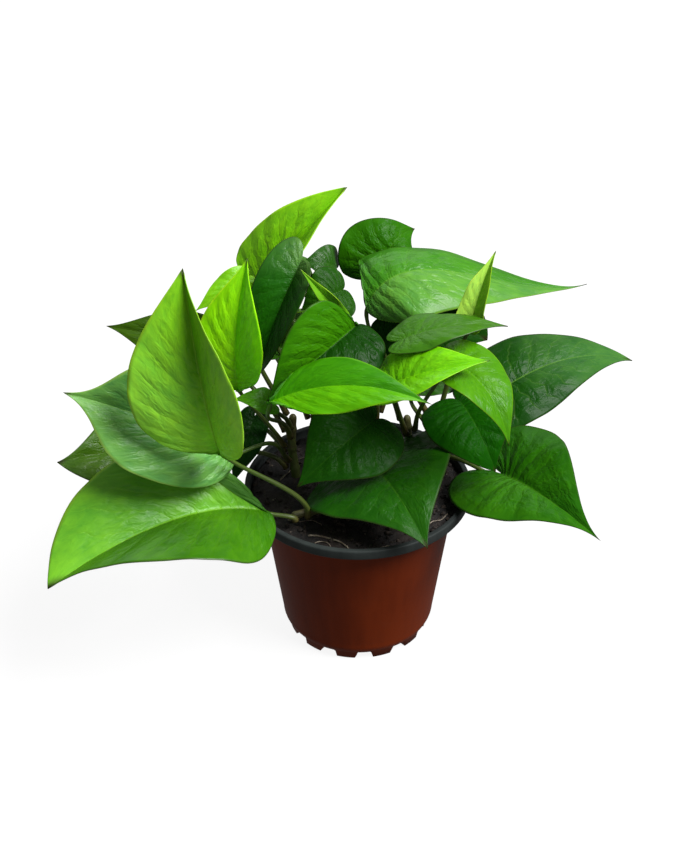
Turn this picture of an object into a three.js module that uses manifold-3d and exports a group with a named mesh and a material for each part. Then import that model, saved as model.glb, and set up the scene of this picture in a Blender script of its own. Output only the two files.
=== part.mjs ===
// A potted pothos plant: heart-shaped leaves on long petioles, short vine stems,
// soil, and a thin plastic nursery pot. Millimetres, +Z up, +Y away from the viewer.
// The origin is the centre of the pot's base, on the surface that the pot stands on.

import * as THREE from "three";
import { mergeVertices } from "three/addons/utils/BufferGeometryUtils.js";
import Module from "manifold-3d";

const wasm = await Module();
wasm.setup();

// ---- Driving dimensions -------------------------------------------------

const CLEARANCE = 0.3; // kept between pieces that touch

// Pot: a thin shell with a flared shoulder, a rolled rim and a ring of feet.
const RIM_RADIUS = 65;
const RIM_TOP = 97.4;
const RIM_DEPTH = 5.4; // how far the outer lip hangs down
const RIM_INNER_RADIUS = 61.6;
const SHOULDER_RADIUS = 55.5;
const SHOULDER_HEIGHT = 88;
const BASE_RADIUS = 44.4;
const BASE_CORNER = 9; // radius of the rounded lower corner
const WALL = 1.2;
const FOOT_HEIGHT = 2.2;
const FOOT_COUNT = 12;
const FOOT_OUTER_RADIUS = 41;
const FOOT_INNER_RADIUS = 33;
const FOOT_TURN = -0.17; // where the foot nearest the viewer stands, radians
const FOOT_SPREAD = 0.3; // angle that one foot covers, radians
const POT_SEGMENTS = 40;

// Soil: fills the pot to a few millimetres under the rim.
const SOIL_EDGE_HEIGHT = 92.4;
const SOIL_CROWN = 2; // how much higher it is in the middle
const SOIL_LUMP = 0.7;
const SOIL_SEGMENTS = 32;
const HOLE_DEPTH = 22;

// Stems.
const STEM_RADIUS = 3;
const STEM_TIP_RADIUS = 2.2;
const STEM_SIDES = 7;
const NODE_SWELLING = 0.35; // extra radius where a leaf was joined
const NODE_SPACING = 13;

// Leaves.
const BLADE_THICKNESS = 0.8;
const MIDRIB_THICKNESS = 0.9; // added under the midrib, fading to the margin and the tip
const BLADE_ROWS = 8;
const BLADE_COLUMNS = 3; // on each side of the midrib
const LOBE = 0.12; // how far the heart's lobes reach back, as a share of the length
const WIDEST = 0.25; // where the blade is widest, as a share of its length
const TAPER = 0.16; // how full the outline stays close to the tip
const WIDEST_ROW = 0.45;
const VEIN_SWEEP = 1.3; // how much the side veins bend forward
const WAVE = 1.6; // height of the margin's waves
const WAVE_TURNS = 15; // radians of waving from base to tip
const PETIOLE_FOOT_RADIUS = 1.9;
const PETIOLE_TOP_RADIUS = 1.15;
const PETIOLE_SIDES = 5;
const PETIOLE_STEPS = 6;
const PETIOLE_OVERLAP = 4; // how far the petiole runs on under the midrib
const PETIOLE_DEPTH = 0.5; // how deep its axis lies under the upper surface there
const PETIOLE_SPREAD = 0.45; // how far it leans out from the stem, 0 is straight up

// ---- Materials ----------------------------------------------------------

const COLOURS = {
  young: 0x5fb010,
  mature: 0x2f7d12,
  shade: 0x1d5410,
  stem: 0x6f8a33,
  soil: 0x1c130d,
  pot: 0x6e2a12,
};

function finish(colour, roughness) {
  return new THREE.MeshStandardMaterial({ color: colour, roughness, metalness: 0 });
}

// ---- Solids -------------------------------------------------------------

function toSolid(geometry) {
  const bare = geometry.clone();
  bare.deleteAttribute("normal");
  bare.deleteAttribute("uv");
  const merged = mergeVertices(bare, 1e-4);
  const mesh = new wasm.Mesh({
    numProp: 3,
    vertProperties: new Float32Array(merged.attributes.position.array),
    triVerts: new Uint32Array(merged.index.array),
  });
  return new wasm.Manifold(mesh);
}

function toGeometry(solid) {
  const mesh = solid.getMesh();
  const geometry = new THREE.BufferGeometry();
  geometry.setAttribute("position", new THREE.BufferAttribute(new Float32Array(mesh.vertProperties), 3));
  geometry.setIndex(new THREE.BufferAttribute(new Uint32Array(mesh.triVerts), 1));
  geometry.computeVertexNormals();
  return geometry;
}

function closedMesh(points, triangles) {
  const geometry = new THREE.BufferGeometry();
  const numbers = points.flatMap((p) => p.toArray());
  geometry.setAttribute("position", new THREE.Float32BufferAttribute(numbers, 3));
  geometry.setIndex(triangles);
  return geometry;
}

function piece(name, geometry, colour, roughness) {
  const mesh = new THREE.Mesh(geometry, finish(colour, roughness));
  mesh.name = name;
  return mesh;
}

const vector = (p) => new THREE.Vector3(p[0], p[1], p[2]);

// A closed round bar along a curve. radiusAt gives its radius from 0 to 1.
function bar(curve, radiusAt, sides, steps) {
  const points = [];
  const triangles = [];
  const frames = curve.computeFrenetFrames(steps, false);
  for (let i = 0; i <= steps; i += 1) {
    const centre = curve.getPointAt(i / steps);
    for (let k = 0; k < sides; k += 1) {
      const angle = (2 * Math.PI * k) / sides;
      const offset = frames.normals[i].clone().multiplyScalar(Math.cos(angle));
      offset.addScaledVector(frames.binormals[i], Math.sin(angle));
      points.push(centre.clone().addScaledVector(offset, radiusAt(i / steps)));
    }
  }
  for (let i = 0; i < steps; i += 1) {
    for (let k = 0; k < sides; k += 1) {
      const a = i * sides + k;
      const b = i * sides + ((k + 1) % sides);
      triangles.push(a, b, a + sides, b, b + sides, a + sides);
    }
  }
  const last = steps * sides;
  for (let k = 1; k < sides - 1; k += 1) {
    triangles.push(0, k + 1, k);
    triangles.push(last, last + k, last + k + 1);
  }
  return closedMesh(points, triangles);
}

// ---- Pot ----------------------------------------------------------------

function potProfile() {
  const floor = FOOT_HEIGHT;
  const lipBottom = RIM_TOP - RIM_DEPTH;
  const half = Math.SQRT1_2;
  const corner = BASE_CORNER;
  const inner = corner - WALL;
  return [
    [0, floor],
    [BASE_RADIUS - corner, floor],
    [BASE_RADIUS - corner + corner * half, floor + corner - corner * half],
    [BASE_RADIUS, floor + corner],
    [SHOULDER_RADIUS, SHOULDER_HEIGHT],
    [RIM_INNER_RADIUS + WALL, SHOULDER_HEIGHT + 1.6],
    [RIM_INNER_RADIUS + WALL, lipBottom - 0.6],
    [RIM_RADIUS, lipBottom],
    [RIM_RADIUS, RIM_TOP - 1],
    [RIM_RADIUS - 0.9, RIM_TOP],
    [RIM_INNER_RADIUS + 0.7, RIM_TOP],
    [RIM_INNER_RADIUS, RIM_TOP - 0.8],
    [RIM_INNER_RADIUS, SHOULDER_HEIGHT + 2.9],
    [SHOULDER_RADIUS - WALL, SHOULDER_HEIGHT + 1.2],
    [BASE_RADIUS - WALL, floor + corner],
    [BASE_RADIUS - corner + inner * half, floor + corner - inner * half],
    [BASE_RADIUS - corner, floor + WALL],
    [0, floor + WALL],
  ];
}

function lathe(profile, segments) {
  const points = profile.map(([radius, height]) => new THREE.Vector2(radius, height));
  return new THREE.LatheGeometry(points, segments).rotateX(Math.PI / 2);
}

// One foot: a short block of a ring under the floor of the pot.
function foot(angle) {
  const shape = new THREE.Shape();
  shape.absarc(0, 0, FOOT_OUTER_RADIUS, angle - FOOT_SPREAD / 2, angle + FOOT_SPREAD / 2, false);
  shape.absarc(0, 0, FOOT_INNER_RADIUS, angle + FOOT_SPREAD / 2, angle - FOOT_SPREAD / 2, true);
  const height = FOOT_HEIGHT + WALL / 2;
  return new THREE.ExtrudeGeometry(shape, { depth: height, bevelEnabled: false, curveSegments: 3 });
}

function potGeometry() {
  let pot = toSolid(lathe(potProfile(), POT_SEGMENTS));
  for (let i = 0; i < FOOT_COUNT; i += 1) {
    pot = pot.add(toSolid(foot((2 * Math.PI * i) / FOOT_COUNT - Math.PI / 2 + FOOT_TURN)));
  }
  return toGeometry(pot);
}

// ---- Stems --------------------------------------------------------------

// Each stem: the points it passes, from its foot down in the soil to its growing end.
const STEMS = {
  stem_left: [[-36, 12, 73], [-36, 12, 95], [-38, 14, 112], [-37, 15, 134]],
  stem_front: [[-12, -27, 73], [-12, -27, 86], [-13, -27, 95], [-21, -30, 100], [-37, -37, 101]],
  stem_middle: [[-10, 18, 73], [-10, 18, 95], [-11, 19, 112], [-9, 20, 132]],
  stem_right: [[28, 15, 73], [28, 15, 95], [29, 16, 112], [28, 17, 132]],
  stem_far_right: [[43, 22, 73], [43, 22, 95], [45, 23, 112], [44, 24, 130]],
  stem_back: [[8, 38, 73], [8, 38, 95], [9, 40, 112], [10, 42, 132]],
  stem_back_left: [[-24, 38, 73], [-24, 38, 95], [-25, 40, 112], [-27, 42, 130]],
};

function stemCurve(name) {
  return new THREE.CatmullRomCurve3(STEMS[name].map(vector));
}

// The stem tapers a little, with a low ring at each node.
function stemRadius(share, length) {
  const taper = STEM_RADIUS + (STEM_TIP_RADIUS - STEM_RADIUS) * share;
  const ring = Math.cos((2 * Math.PI * share * length) / NODE_SPACING);
  return taper + NODE_SWELLING * Math.max(0, ring) ** 4;
}

function stemGeometry(name) {
  const curve = stemCurve(name);
  const length = curve.getLength();
  const steps = Math.round(length / 5.5);
  return toGeometry(toSolid(bar(curve, (share) => stemRadius(share, length), STEM_SIDES, steps)));
}

// ---- Soil ---------------------------------------------------------------

function soilHeight(x, y) {
  const radius = Math.hypot(x, y) / RIM_INNER_RADIUS;
  const lump = Math.sin(x * 0.31 + 1) * Math.cos(y * 0.27 - 2) + 0.6 * Math.sin(x * 0.13 - y * 0.19);
  return SOIL_EDGE_HEIGHT + SOIL_CROWN * (1 - radius * radius) + SOIL_LUMP * lump * (1 - radius ** 4);
}

function soilGeometry() {
  const floor = FOOT_HEIGHT + WALL + CLEARANCE;
  const corner = FOOT_HEIGHT + BASE_CORNER;
  const side = BASE_RADIUS - WALL - CLEARANCE - 0.2;
  const half = Math.SQRT1_2;
  const inner = BASE_CORNER - WALL - CLEARANCE - 0.2;
  const edge = RIM_INNER_RADIUS - CLEARANCE - 0.3;
  const profile = [
    [0, floor],
    [BASE_RADIUS - BASE_CORNER, floor],
    [BASE_RADIUS - BASE_CORNER + inner * half, corner - inner * half],
    [side, corner],
    [SHOULDER_RADIUS - WALL - CLEARANCE - 0.2, SHOULDER_HEIGHT + 1.2],
    [edge, SHOULDER_HEIGHT + 3.4],
    [edge, SOIL_EDGE_HEIGHT],
    [edge * 0.8, SOIL_EDGE_HEIGHT],
    [edge * 0.55, SOIL_EDGE_HEIGHT],
    [edge * 0.28, SOIL_EDGE_HEIGHT],
    [0, SOIL_EDGE_HEIGHT],
  ];
  const geometry = lathe(profile, SOIL_SEGMENTS);
  const position = geometry.attributes.position;
  for (let i = 0; i < position.count; i += 1) {
    if (position.getZ(i) > SOIL_EDGE_HEIGHT - 0.01) {
      position.setZ(i, soilHeight(position.getX(i), position.getY(i)));
    }
  }
  let soil = toSolid(geometry);
  for (const points of Object.values(STEMS)) {
    const radius = STEM_RADIUS + NODE_SWELLING + CLEARANCE + 0.15;
    const hole = new THREE.CylinderGeometry(radius, radius, 2 * HOLE_DEPTH, 12).rotateX(Math.PI / 2);
    hole.translate(points[0][0], points[0][1], points[0][2] + HOLE_DEPTH - 0.6);
    soil = soil.subtract(toSolid(hole));
  }
  return toGeometry(soil);
}

// ---- Leaves -------------------------------------------------------------

// base, tip: the two ends of the midrib. width: across the blade. face: the way that
// the upper surface looks. arch: how far the midrib bulges towards the face. sway: how
// far it bends to the right, seen along the leaf. spine: two points that pull the midrib
// instead. fold: how far the left and the right half rise from the midrib, in degrees,
// and curl: how much more they do so at the margin. twist: how far the blade rolls from
// base to tip, which lifts its left half. lobe: how far the heart's lobes reach back.
// widest: where the blade is widest. taper: how full it stays close to the tip. These
// three are single values, or a pair for the left and the right half. stem, at: where
// the petiole starts on its stem, from 0 to 1. leave: the side of the stem on which it
// starts. via: a point that it passes.
const LEAVES = {
  leaf_01: {
    base: [-49, -42, 108], tip: [-167, -95, 96], width: 91, face: [2, -4, 9],
    spine: [[-88, -50, 126], [-134, -78, 113]], arch: 0, sway: 0, fold: [20, 38],
    curl: [-8, -4], twist: 42, lobe: [0.03, -0.2], widest: [0.31, 0.4], taper: [0.24, 0.5],
    stem: "stem_front", at: 0.98, leave: [0.3, -1, 0], tone: "mature",
  },
  leaf_02: {
    base: [-67, -38, 140], tip: [-156, -49, 192], width: 62, face: [-1, -6, 6], arch: 6,
    sway: 3, fold: [18, 26], curl: [-12, -12], lobe: 0, widest: 0.5, taper: [0.2, 0.12],
    stem: "stem_left", at: 0.55, via: [-50, -26, 143], tone: "shade",
  },
  leaf_03: {
    base: [-74, -56, 156], tip: [-89, -50, 268], width: 77, face: [-2.2, -9, 1], arch: 8,
    sway: 1, fold: [36, 55], curl: [-14, -12], lobe: -0.06, widest: 0.4,
    taper: [0.38, 0.22],
    stem: "stem_front", at: 0.84, leave: [0.41, -0.91, 0], tone: "young",
  },
  leaf_04: {
    base: [-106, 18, 108], tip: [-168, -20, 126], width: 62, face: [-1, -6, 7], arch: 8,
    fold: [10, 16], curl: [-10, -10], taper: [0.5, 0.1],
    stem: "stem_left", at: 0.42, tone: "mature",
  },
  leaf_05: {
    base: [-82, 34, 168], tip: [-142, 32, 183], width: 34, face: [0, -7, 5], arch: 5,
    fold: [10, 10], curl: [-8, -8],
    stem: "stem_left", at: 0.8, tone: "mature",
  },
  leaf_06: {
    base: [-67, 2, 158], tip: [-59, 2, 244], width: 42, face: [-2.2, -9, 1], arch: 6,
    sway: -2, fold: [26, 40], curl: [-10, -10], lobe: -0.08, widest: 0.4, taper: 0.26,
    stem: "stem_left", at: 0.68, tone: "young",
  },
  leaf_07: {
    base: [-62, 32, 215], tip: [-90, 20, 200], width: 17, face: [-2, -8, 6], arch: 2,
    fold: [10, 10], curl: [-8, -8],
    stem: "stem_left", at: 0.98, via: [-60, 18, 180], tone: "mature",
  },
  leaf_08: {
    base: [-58, 48, 188], tip: [-6, 52, 260], width: 50, face: [-6, -8, 4], arch: 6,
    sway: 0, fold: [34, 56], curl: [-10, -10], lobe: [-0.08, 0.12], widest: [0.3, 0.25],
    taper: [0.4, 0.2],
    stem: "stem_back_left", at: 0.95, tone: "young",
  },
  leaf_09: {
    base: [-31, 23, 230], tip: [-56, 10, 165], width: 38, face: [-2, -8, 3], arch: 10,
    fold: [60, 10], curl: [-10, -10], lobe: [0.02, 0.16], taper: [0.45, 0.16],
    stem: "stem_back_left", at: 0.85, tone: "shade",
  },
  leaf_10: {
    base: [15, 70, 194], tip: [33, 86, 215], width: 56, face: [0, -9, 5], arch: 10,
    sway: -6, fold: [6, 4], curl: [-12, -10],
    stem: "stem_back", at: 0.95, tone: "shade",
  },
  leaf_11: {
    base: [-12, 70, 198], tip: [-33, 62, 206], width: 24, face: [0, -6, 8], arch: 5,
    fold: [10, 10], curl: [-8, -8],
    stem: "stem_back", at: 0.85, leave: [-1, 0.3, 0], tone: "shade",
  },
  leaf_12: {
    base: [4, 30, 196], tip: [132, 70, 188], width: 62, face: [1, -2, 10],
    spine: [[24, 34, 248], [90, 56, 181]], arch: 0, fold: [6, -4], curl: [-20, -10],
    lobe: [-0.06, 0.02], widest: [0.1, 0.24], taper: [0, 0],
    stem: "stem_far_right", at: 0.97, tone: "mature",
  },
  leaf_13: {
    base: [61, 4, 197], tip: [74, 10, 244], width: 19, face: [-8, -7, 2], arch: 2,
    fold: [50, 12], curl: [0, 0], lobe: 0.02,
    stem: "stem_far_right", at: 0.85, leave: [0.3, 1, 0], via: [54, 27, 160],
    tone: "mature",
  },
  leaf_14: {
    base: [22, -15, 203], tip: [81, -10, 209], width: 28, face: [0, -1, 9], arch: 5,
    fold: [8, 8], curl: [-8, -8],
    stem: "stem_right", at: 0.98, leave: [-0.9, -0.3, 0], via: [17, 8, 165], tone: "shade",
  },
  leaf_15: {
    base: [77, 46, 125], tip: [166, 94, 120], width: 55, face: [2, -4, 9], arch: 12,
    sway: -6, fold: [6, 16], curl: [-14, -14], lobe: 0.16, widest: 0.16, taper: 0.2,
    stem: "stem_far_right", at: 0.7, tone: "mature",
  },
  leaf_16: {
    base: [81, -8, 110], tip: [131, -76, 114], width: 70, face: [-3, -1, 9], arch: 6,
    sway: 0, fold: [28, 16], curl: [-12, -14], lobe: 0.27, widest: 0.16, taper: 0.02,
    stem: "stem_far_right", at: 0.45, tone: "mature",
  },
  leaf_17: {
    base: [48, -20, 195], tip: [81, -56, 162], width: 38, face: [4, -7, 7], arch: 10,
    sway: -3, fold: [8, 30], curl: [-12, -12],
    stem: "stem_right", at: 0.88, leave: [1, -0.6, 0], via: [35, -12, 158], tone: "young",
  },
  leaf_18: {
    base: [15, -28, 182], tip: [70, -38, 205], width: 36, face: [0, -6, 8], arch: 6,
    fold: [8, 45], curl: [-12, -12],
    stem: "stem_right", at: 0.85, leave: [-0.3, -1, 0], via: [22, 0, 149], tone: "young",
  },
  leaf_19: {
    base: [-49, -45, 182], tip: [39, -56, 189], width: 31, face: [0, -6, 8], arch: 10,
    sway: -7, fold: [15, 10], curl: [-12, -12], lobe: -0.1, widest: 0.38,
    stem: "stem_left", at: 0.8, leave: [-0.2, -1, 0], tone: "young",
  },
  leaf_20: {
    base: [0, -3, 206], tip: [-50, -29, 172], width: 56, face: [0, -8, 5], arch: 10,
    fold: [25, 45], curl: [-12, -12], lobe: [0.06, -0.05], widest: [0.25, 0.3],
    stem: "stem_middle", at: 0.95, tone: "mature",
  },
  leaf_21: {
    base: [-8, 6, 205], tip: [-31, 1, 238], width: 10, face: [1, -8, 3], arch: 2,
    fold: [30, 30], curl: [0, 0],
    stem: "stem_middle", at: 0.7, leave: [1, -0.2, 0], via: [3, 14, 170], tone: "mature",
  },
  leaf_22: {
    base: [-8, 30, 208], tip: [-32, 24, 198], width: 33, face: [-1, -8, 5], arch: 4,
    fold: [8, 8], curl: [-8, -8],
    stem: "stem_middle", at: 0.9, leave: [0, 1, 0], tone: "shade",
  },
  leaf_23: {
    base: [5, -5, 114], tip: [38, -76, 108], width: 90, face: [-1, -2, 10], arch: 12,
    fold: [16, 6], curl: [-12, -14], lobe: 0.12, widest: 0.2,
    stem: "stem_right", at: 0.42, tone: "mature",
  },
  leaf_24: {
    base: [10, -8, 147], tip: [-34, -42, 124], width: 54, face: [0, -6, 6], arch: 8,
    fold: [8, 8], curl: [-8, -8],
    stem: "stem_middle", at: 0.55, tone: "shade",
  },
  leaf_25: {
    base: [57, 11, 147], tip: [77, -24, 122], width: 54, face: [1, -6, 6], arch: 8,
    fold: [8, 8], curl: [-8, -8], taper: [0.16, 0.4],
    stem: "stem_far_right", at: 0.6, tone: "shade",
  },
  leaf_26: {
    base: [12, 44, 181], tip: [74, 42, 167], width: 56, face: [0, -8, 5], arch: 6, sway: -6,
    fold: [8, 8], curl: [-8, -8], taper: [0.5, 0.35],
    stem: "stem_back", at: 0.75, leave: [0.3, -1, 0], tone: "shade",
  },
  leaf_27: {
    base: [-59, 20, 130], tip: [-72, -4, 98], width: 20, face: [0, -8, 6], arch: 4,
    fold: [8, 8], curl: [-8, -8],
    stem: "stem_left", at: 0.58, tone: "shade",
  },
  leaf_28: {
    base: [-45, -16, 162], tip: [-69, -16, 165], width: 15, face: [0, -4, 8], arch: 4,
    fold: [8, 8], curl: [-8, -8],
    stem: "stem_left", at: 0.9, tone: "mature",
  },
  leaf_29: {
    base: [-46, 52, 152], tip: [-88, 87, 122], width: 56, face: [-3, 6, 7], arch: 9,
    fold: [8, 8], curl: [-12, -12],
    stem: "stem_back_left", at: 0.7, tone: "mature",
  },
  leaf_30: {
    base: [30, 66, 118], tip: [70, 92, 92], width: 54, face: [3, 6, 7], arch: 9,
    fold: [8, 8], curl: [-12, -12],
    stem: "stem_far_right", at: 0.6, tone: "mature",
  },
  leaf_31: {
    base: [-37, 62, 174], tip: [-46, 89, 132], width: 44, face: [-1, 8, 6], arch: 9,
    fold: [8, 8], curl: [-12, -12],
    stem: "stem_back_left", at: 0.8, tone: "young",
  },
  leaf_32: {
    base: [30, 67, 171], tip: [45, 91, 134], width: 46, face: [2, 8, 6], arch: 9,
    fold: [8, 8], curl: [-12, -12],
    stem: "stem_back", at: 0.75, leave: [1, 0.6, 0], tone: "mature",
  },
  leaf_33: {
    base: [-6, 64, 124], tip: [-10, 105, 59], width: 40, face: [0, 9, 4], arch: 10,
    fold: [8, 8], curl: [-12, -12],
    stem: "stem_back", at: 0.6, tone: "shade",
  },
  leaf_34: {
    base: [-36, 65, 202], tip: [-68, 82, 184], width: 42, face: [-3, 5, 8], arch: 8,
    fold: [8, 8], curl: [-12, -12],
    stem: "stem_back_left", at: 0.98, leave: [0.7, 1, 0], via: [-21, 49, 168],
    tone: "mature",
  },
};

// The flat outline of one half: x in half widths, y in blade lengths.
function outlinePoint(row, lobe, widest, taper) {
  const back = new THREE.CubicBezierCurve(
    new THREE.Vector2(0, 0),
    new THREE.Vector2(0.12, -1.6 * lobe),
    new THREE.Vector2(1, -1.3 * lobe),
    new THREE.Vector2(1, widest),
  );
  const front = new THREE.CubicBezierCurve(
    new THREE.Vector2(1, widest),
    new THREE.Vector2(1, widest + 0.3),
    new THREE.Vector2(taper, 0.77 + 0.35 * (taper - TAPER)),
    new THREE.Vector2(0, 1),
  );
  if (row < WIDEST_ROW) return back.getPoint(row / WIDEST_ROW);
  return front.getPoint((row - WIDEST_ROW) / (1 - WIDEST_ROW));
}

// The flat point on the side vein of a row, from the midrib (0) to the margin (1).
function flatPoint(row, across, leaf, half) {
  const root = 0.12 * row + 0.88 * row ** 3;
  const lobe = forHalf(leaf.lobe ?? LOBE, half);
  const widest = forHalf(leaf.widest ?? WIDEST, half);
  const edge = outlinePoint(row, lobe, widest, forHalf(leaf.taper ?? TAPER, half));
  return [edge.x * across, root + (edge.y - root) * across ** VEIN_SWEEP];
}

// A leaf's value for its left half (0) or its right half (1).
function forHalf(value, half) {
  return Array.isArray(value) ? value[half] : value;
}

// The midrib's curve and the directions of the blade's side and face.
function bladeFrame(leaf) {
  const base = vector(leaf.base);
  const tip = vector(leaf.tip);
  const along = tip.clone().sub(base).normalize();
  const face = vector(leaf.face);
  face.addScaledVector(along, -face.dot(along)).normalize();
  const side = along.clone().cross(face);
  const middle = base.clone().lerp(tip, 0.5);
  middle.addScaledVector(face, 2 * leaf.arch).addScaledVector(side, 2 * (leaf.sway ?? 0));
  const pull = (leaf.spine ?? []).map(vector);
  const first = pull[0] ?? base.clone().lerp(middle, 2 / 3);
  const second = pull[1] ?? tip.clone().lerp(middle, 2 / 3);
  const midrib = new THREE.CubicBezierCurve3(base, first, second, tip);
  return { midrib, face, length: base.distanceTo(tip) };
}

// The place of a flat point in space. hand is -1 on the left half and 1 on the right.
function bladePoint(leaf, frame, row, across, hand) {
  const half = hand < 0 ? 0 : 1;
  const [x, y] = flatPoint(row, across, leaf, half);
  const inside = Math.min(Math.max(y, 0), 1);
  const tangent = frame.midrib.getTangent(inside);
  const point = frame.midrib.getPoint(inside).addScaledVector(tangent, (y - inside) * frame.length);
  const face = frame.face.clone().addScaledVector(tangent, -frame.face.dot(tangent)).normalize();
  face.applyAxisAngle(tangent, THREE.MathUtils.degToRad((leaf.twist ?? 0) * inside));
  const side = tangent.clone().cross(face);
  const rise = THREE.MathUtils.degToRad(leaf.fold[half] + leaf.curl[half] * x);
  const reach = (x * leaf.width) / 2;
  const wave = WAVE * x ** 3 * Math.sin(row * WAVE_TURNS + hand * 1.3 + leaf.base[0]);
  point.addScaledVector(side, hand * reach * Math.cos(rise));
  return point.addScaledVector(face, reach * Math.sin(rise) + wave);
}

// The blade: an upper and a lower sheet with the same triangles, closed at the margin.
function bladeGeometry(leaf) {
  const frame = bladeFrame(leaf);
  const span = 2 * BLADE_COLUMNS + 1;
  const top = [bladePoint(leaf, frame, 0, 0, 1)];
  const thickness = [BLADE_THICKNESS + MIDRIB_THICKNESS];
  for (let i = 1; i < BLADE_ROWS; i += 1) {
    for (let j = -BLADE_COLUMNS; j <= BLADE_COLUMNS; j += 1) {
      const across = Math.abs(j) / BLADE_COLUMNS;
      top.push(bladePoint(leaf, frame, i / BLADE_ROWS, across, j < 0 ? -1 : 1));
      const nearMidrib = Math.max(0, 1 - 2 * across);
      thickness.push(BLADE_THICKNESS + MIDRIB_THICKNESS * nearMidrib * (1 - i / BLADE_ROWS));
    }
  }
  top.push(bladePoint(leaf, frame, 1, 0, 1));
  thickness.push(BLADE_THICKNESS);

  const at = (i, j) => 1 + (i - 1) * span + j;
  const last = top.length - 1;
  const sheet = [];
  for (let j = 0; j < span - 1; j += 1) {
    sheet.push([0, at(1, j + 1), at(1, j)]);
    for (let i = 1; i < BLADE_ROWS - 1; i += 1) {
      const corners = [at(i, j), at(i, j + 1), at(i + 1, j + 1), at(i + 1, j)];
      if (j < BLADE_COLUMNS) {
        sheet.push([corners[0], corners[1], corners[2]], [corners[0], corners[2], corners[3]]);
      } else {
        sheet.push([corners[0], corners[1], corners[3]], [corners[1], corners[2], corners[3]]);
      }
    }
    sheet.push([at(BLADE_ROWS - 1, j), at(BLADE_ROWS - 1, j + 1), last]);
  }

  const rim = [0];
  for (let i = 1; i < BLADE_ROWS; i += 1) rim.push(at(i, span - 1));
  rim.push(last);
  for (let i = BLADE_ROWS - 1; i > 0; i -= 1) rim.push(at(i, 0));
  return thicken(top, thickness, sheet, rim);
}

// Closes a sheet into a solid by a second sheet under it and a wall along its rim.
function thicken(top, thickness, sheet, rim) {
  const upper = closedMesh(top, sheet.flat());
  upper.computeVertexNormals();
  const normals = upper.attributes.normal;
  const bottom = top.map((point, i) => {
    const normal = new THREE.Vector3().fromBufferAttribute(normals, i);
    return point.clone().addScaledVector(normal, -thickness[i]);
  });
  const count = top.length;
  const triangles = sheet.flat();
  for (const [a, b, c] of sheet) triangles.push(a + count, c + count, b + count);
  for (let i = 0; i < rim.length; i += 1) {
    const a = rim[i];
    const b = rim[(i + 1) % rim.length];
    triangles.push(a, a + count, b, b, a + count, b + count);
  }
  return closedMesh([...top, ...bottom], triangles);
}

// The petiole rises from the side of its stem and meets the blade from below.
function petioleCurve(leaf, frame) {
  const stem = stemCurve(leaf.stem);
  const root = stem.getPointAt(leaf.at);
  const joint = vector(leaf.base);
  const out = new THREE.Vector3(joint.x - root.x, joint.y - root.y, 0);
  if (leaf.leave) out.copy(vector(leaf.leave));
  out.setZ(0).normalize();
  const radius = stemRadius(leaf.at, stem.getLength());
  root.addScaledVector(out, radius + CLEARANCE + PETIOLE_FOOT_RADIUS * 0.9);
  const tangent = frame.midrib.getTangent(0);
  const end = joint.clone().addScaledVector(tangent, PETIOLE_OVERLAP);
  end.addScaledVector(frame.face, -PETIOLE_DEPTH);
  if (leaf.via) return new THREE.CatmullRomCurve3([root, vector(leaf.via), end]);
  const reach = root.distanceTo(joint);
  const leave = out.clone().multiplyScalar(PETIOLE_SPREAD).setZ(1).normalize();
  const arrive = tangent.clone().multiplyScalar(0.6).addScaledVector(frame.face, 0.5);
  arrive.setZ(arrive.z + 0.5).normalize();
  return new THREE.CubicBezierCurve3(
    root,
    root.clone().addScaledVector(leave, reach * 0.4),
    end.clone().addScaledVector(arrive, -reach * 0.35),
    end,
  );
}

function leafGeometry(leaf) {
  const frame = bladeFrame(leaf);
  const curve = petioleCurve(leaf, frame);
  const taper = PETIOLE_TOP_RADIUS - PETIOLE_FOOT_RADIUS;
  const radiusAt = (share) => PETIOLE_FOOT_RADIUS + taper * Math.sqrt(share);
  const petiole = toSolid(bar(curve, radiusAt, PETIOLE_SIDES, PETIOLE_STEPS));
  return toGeometry(toSolid(bladeGeometry(leaf)).add(petiole));
}

// ---- The plant ----------------------------------------------------------

const plant = new THREE.Group();
plant.add(piece("pot", potGeometry(), COLOURS.pot, 0.45));
plant.add(piece("soil", soilGeometry(), COLOURS.soil, 0.95));
for (const name of Object.keys(STEMS)) {
  plant.add(piece(name, stemGeometry(name), COLOURS.stem, 0.5));
}
for (const [name, leaf] of Object.entries(LEAVES)) {
  plant.add(piece(name, leafGeometry(leaf), COLOURS[leaf.tone], 0.35));
}

export default plant;
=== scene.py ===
"""A potted pothos plant around its CAD frame, with finer leaves, stems, soil and pot.

Every surface has a procedural material.
"""

import itertools
import math

import bpy
import numpy as np
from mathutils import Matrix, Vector


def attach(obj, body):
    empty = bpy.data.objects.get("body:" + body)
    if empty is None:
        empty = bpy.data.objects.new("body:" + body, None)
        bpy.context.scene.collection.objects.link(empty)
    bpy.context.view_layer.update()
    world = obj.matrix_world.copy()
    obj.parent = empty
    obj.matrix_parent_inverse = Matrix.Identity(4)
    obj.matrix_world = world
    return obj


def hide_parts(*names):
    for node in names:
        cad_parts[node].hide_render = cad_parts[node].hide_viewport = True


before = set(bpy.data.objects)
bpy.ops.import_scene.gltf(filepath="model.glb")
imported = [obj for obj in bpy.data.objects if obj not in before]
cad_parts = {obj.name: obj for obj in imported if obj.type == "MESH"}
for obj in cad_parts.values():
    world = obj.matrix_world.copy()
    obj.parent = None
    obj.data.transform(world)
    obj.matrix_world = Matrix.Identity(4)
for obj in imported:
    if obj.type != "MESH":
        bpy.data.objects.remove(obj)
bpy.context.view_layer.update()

MM = 0.001

# ---- The plant's layout, in millimetres, the same as in the solids ----------

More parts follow.
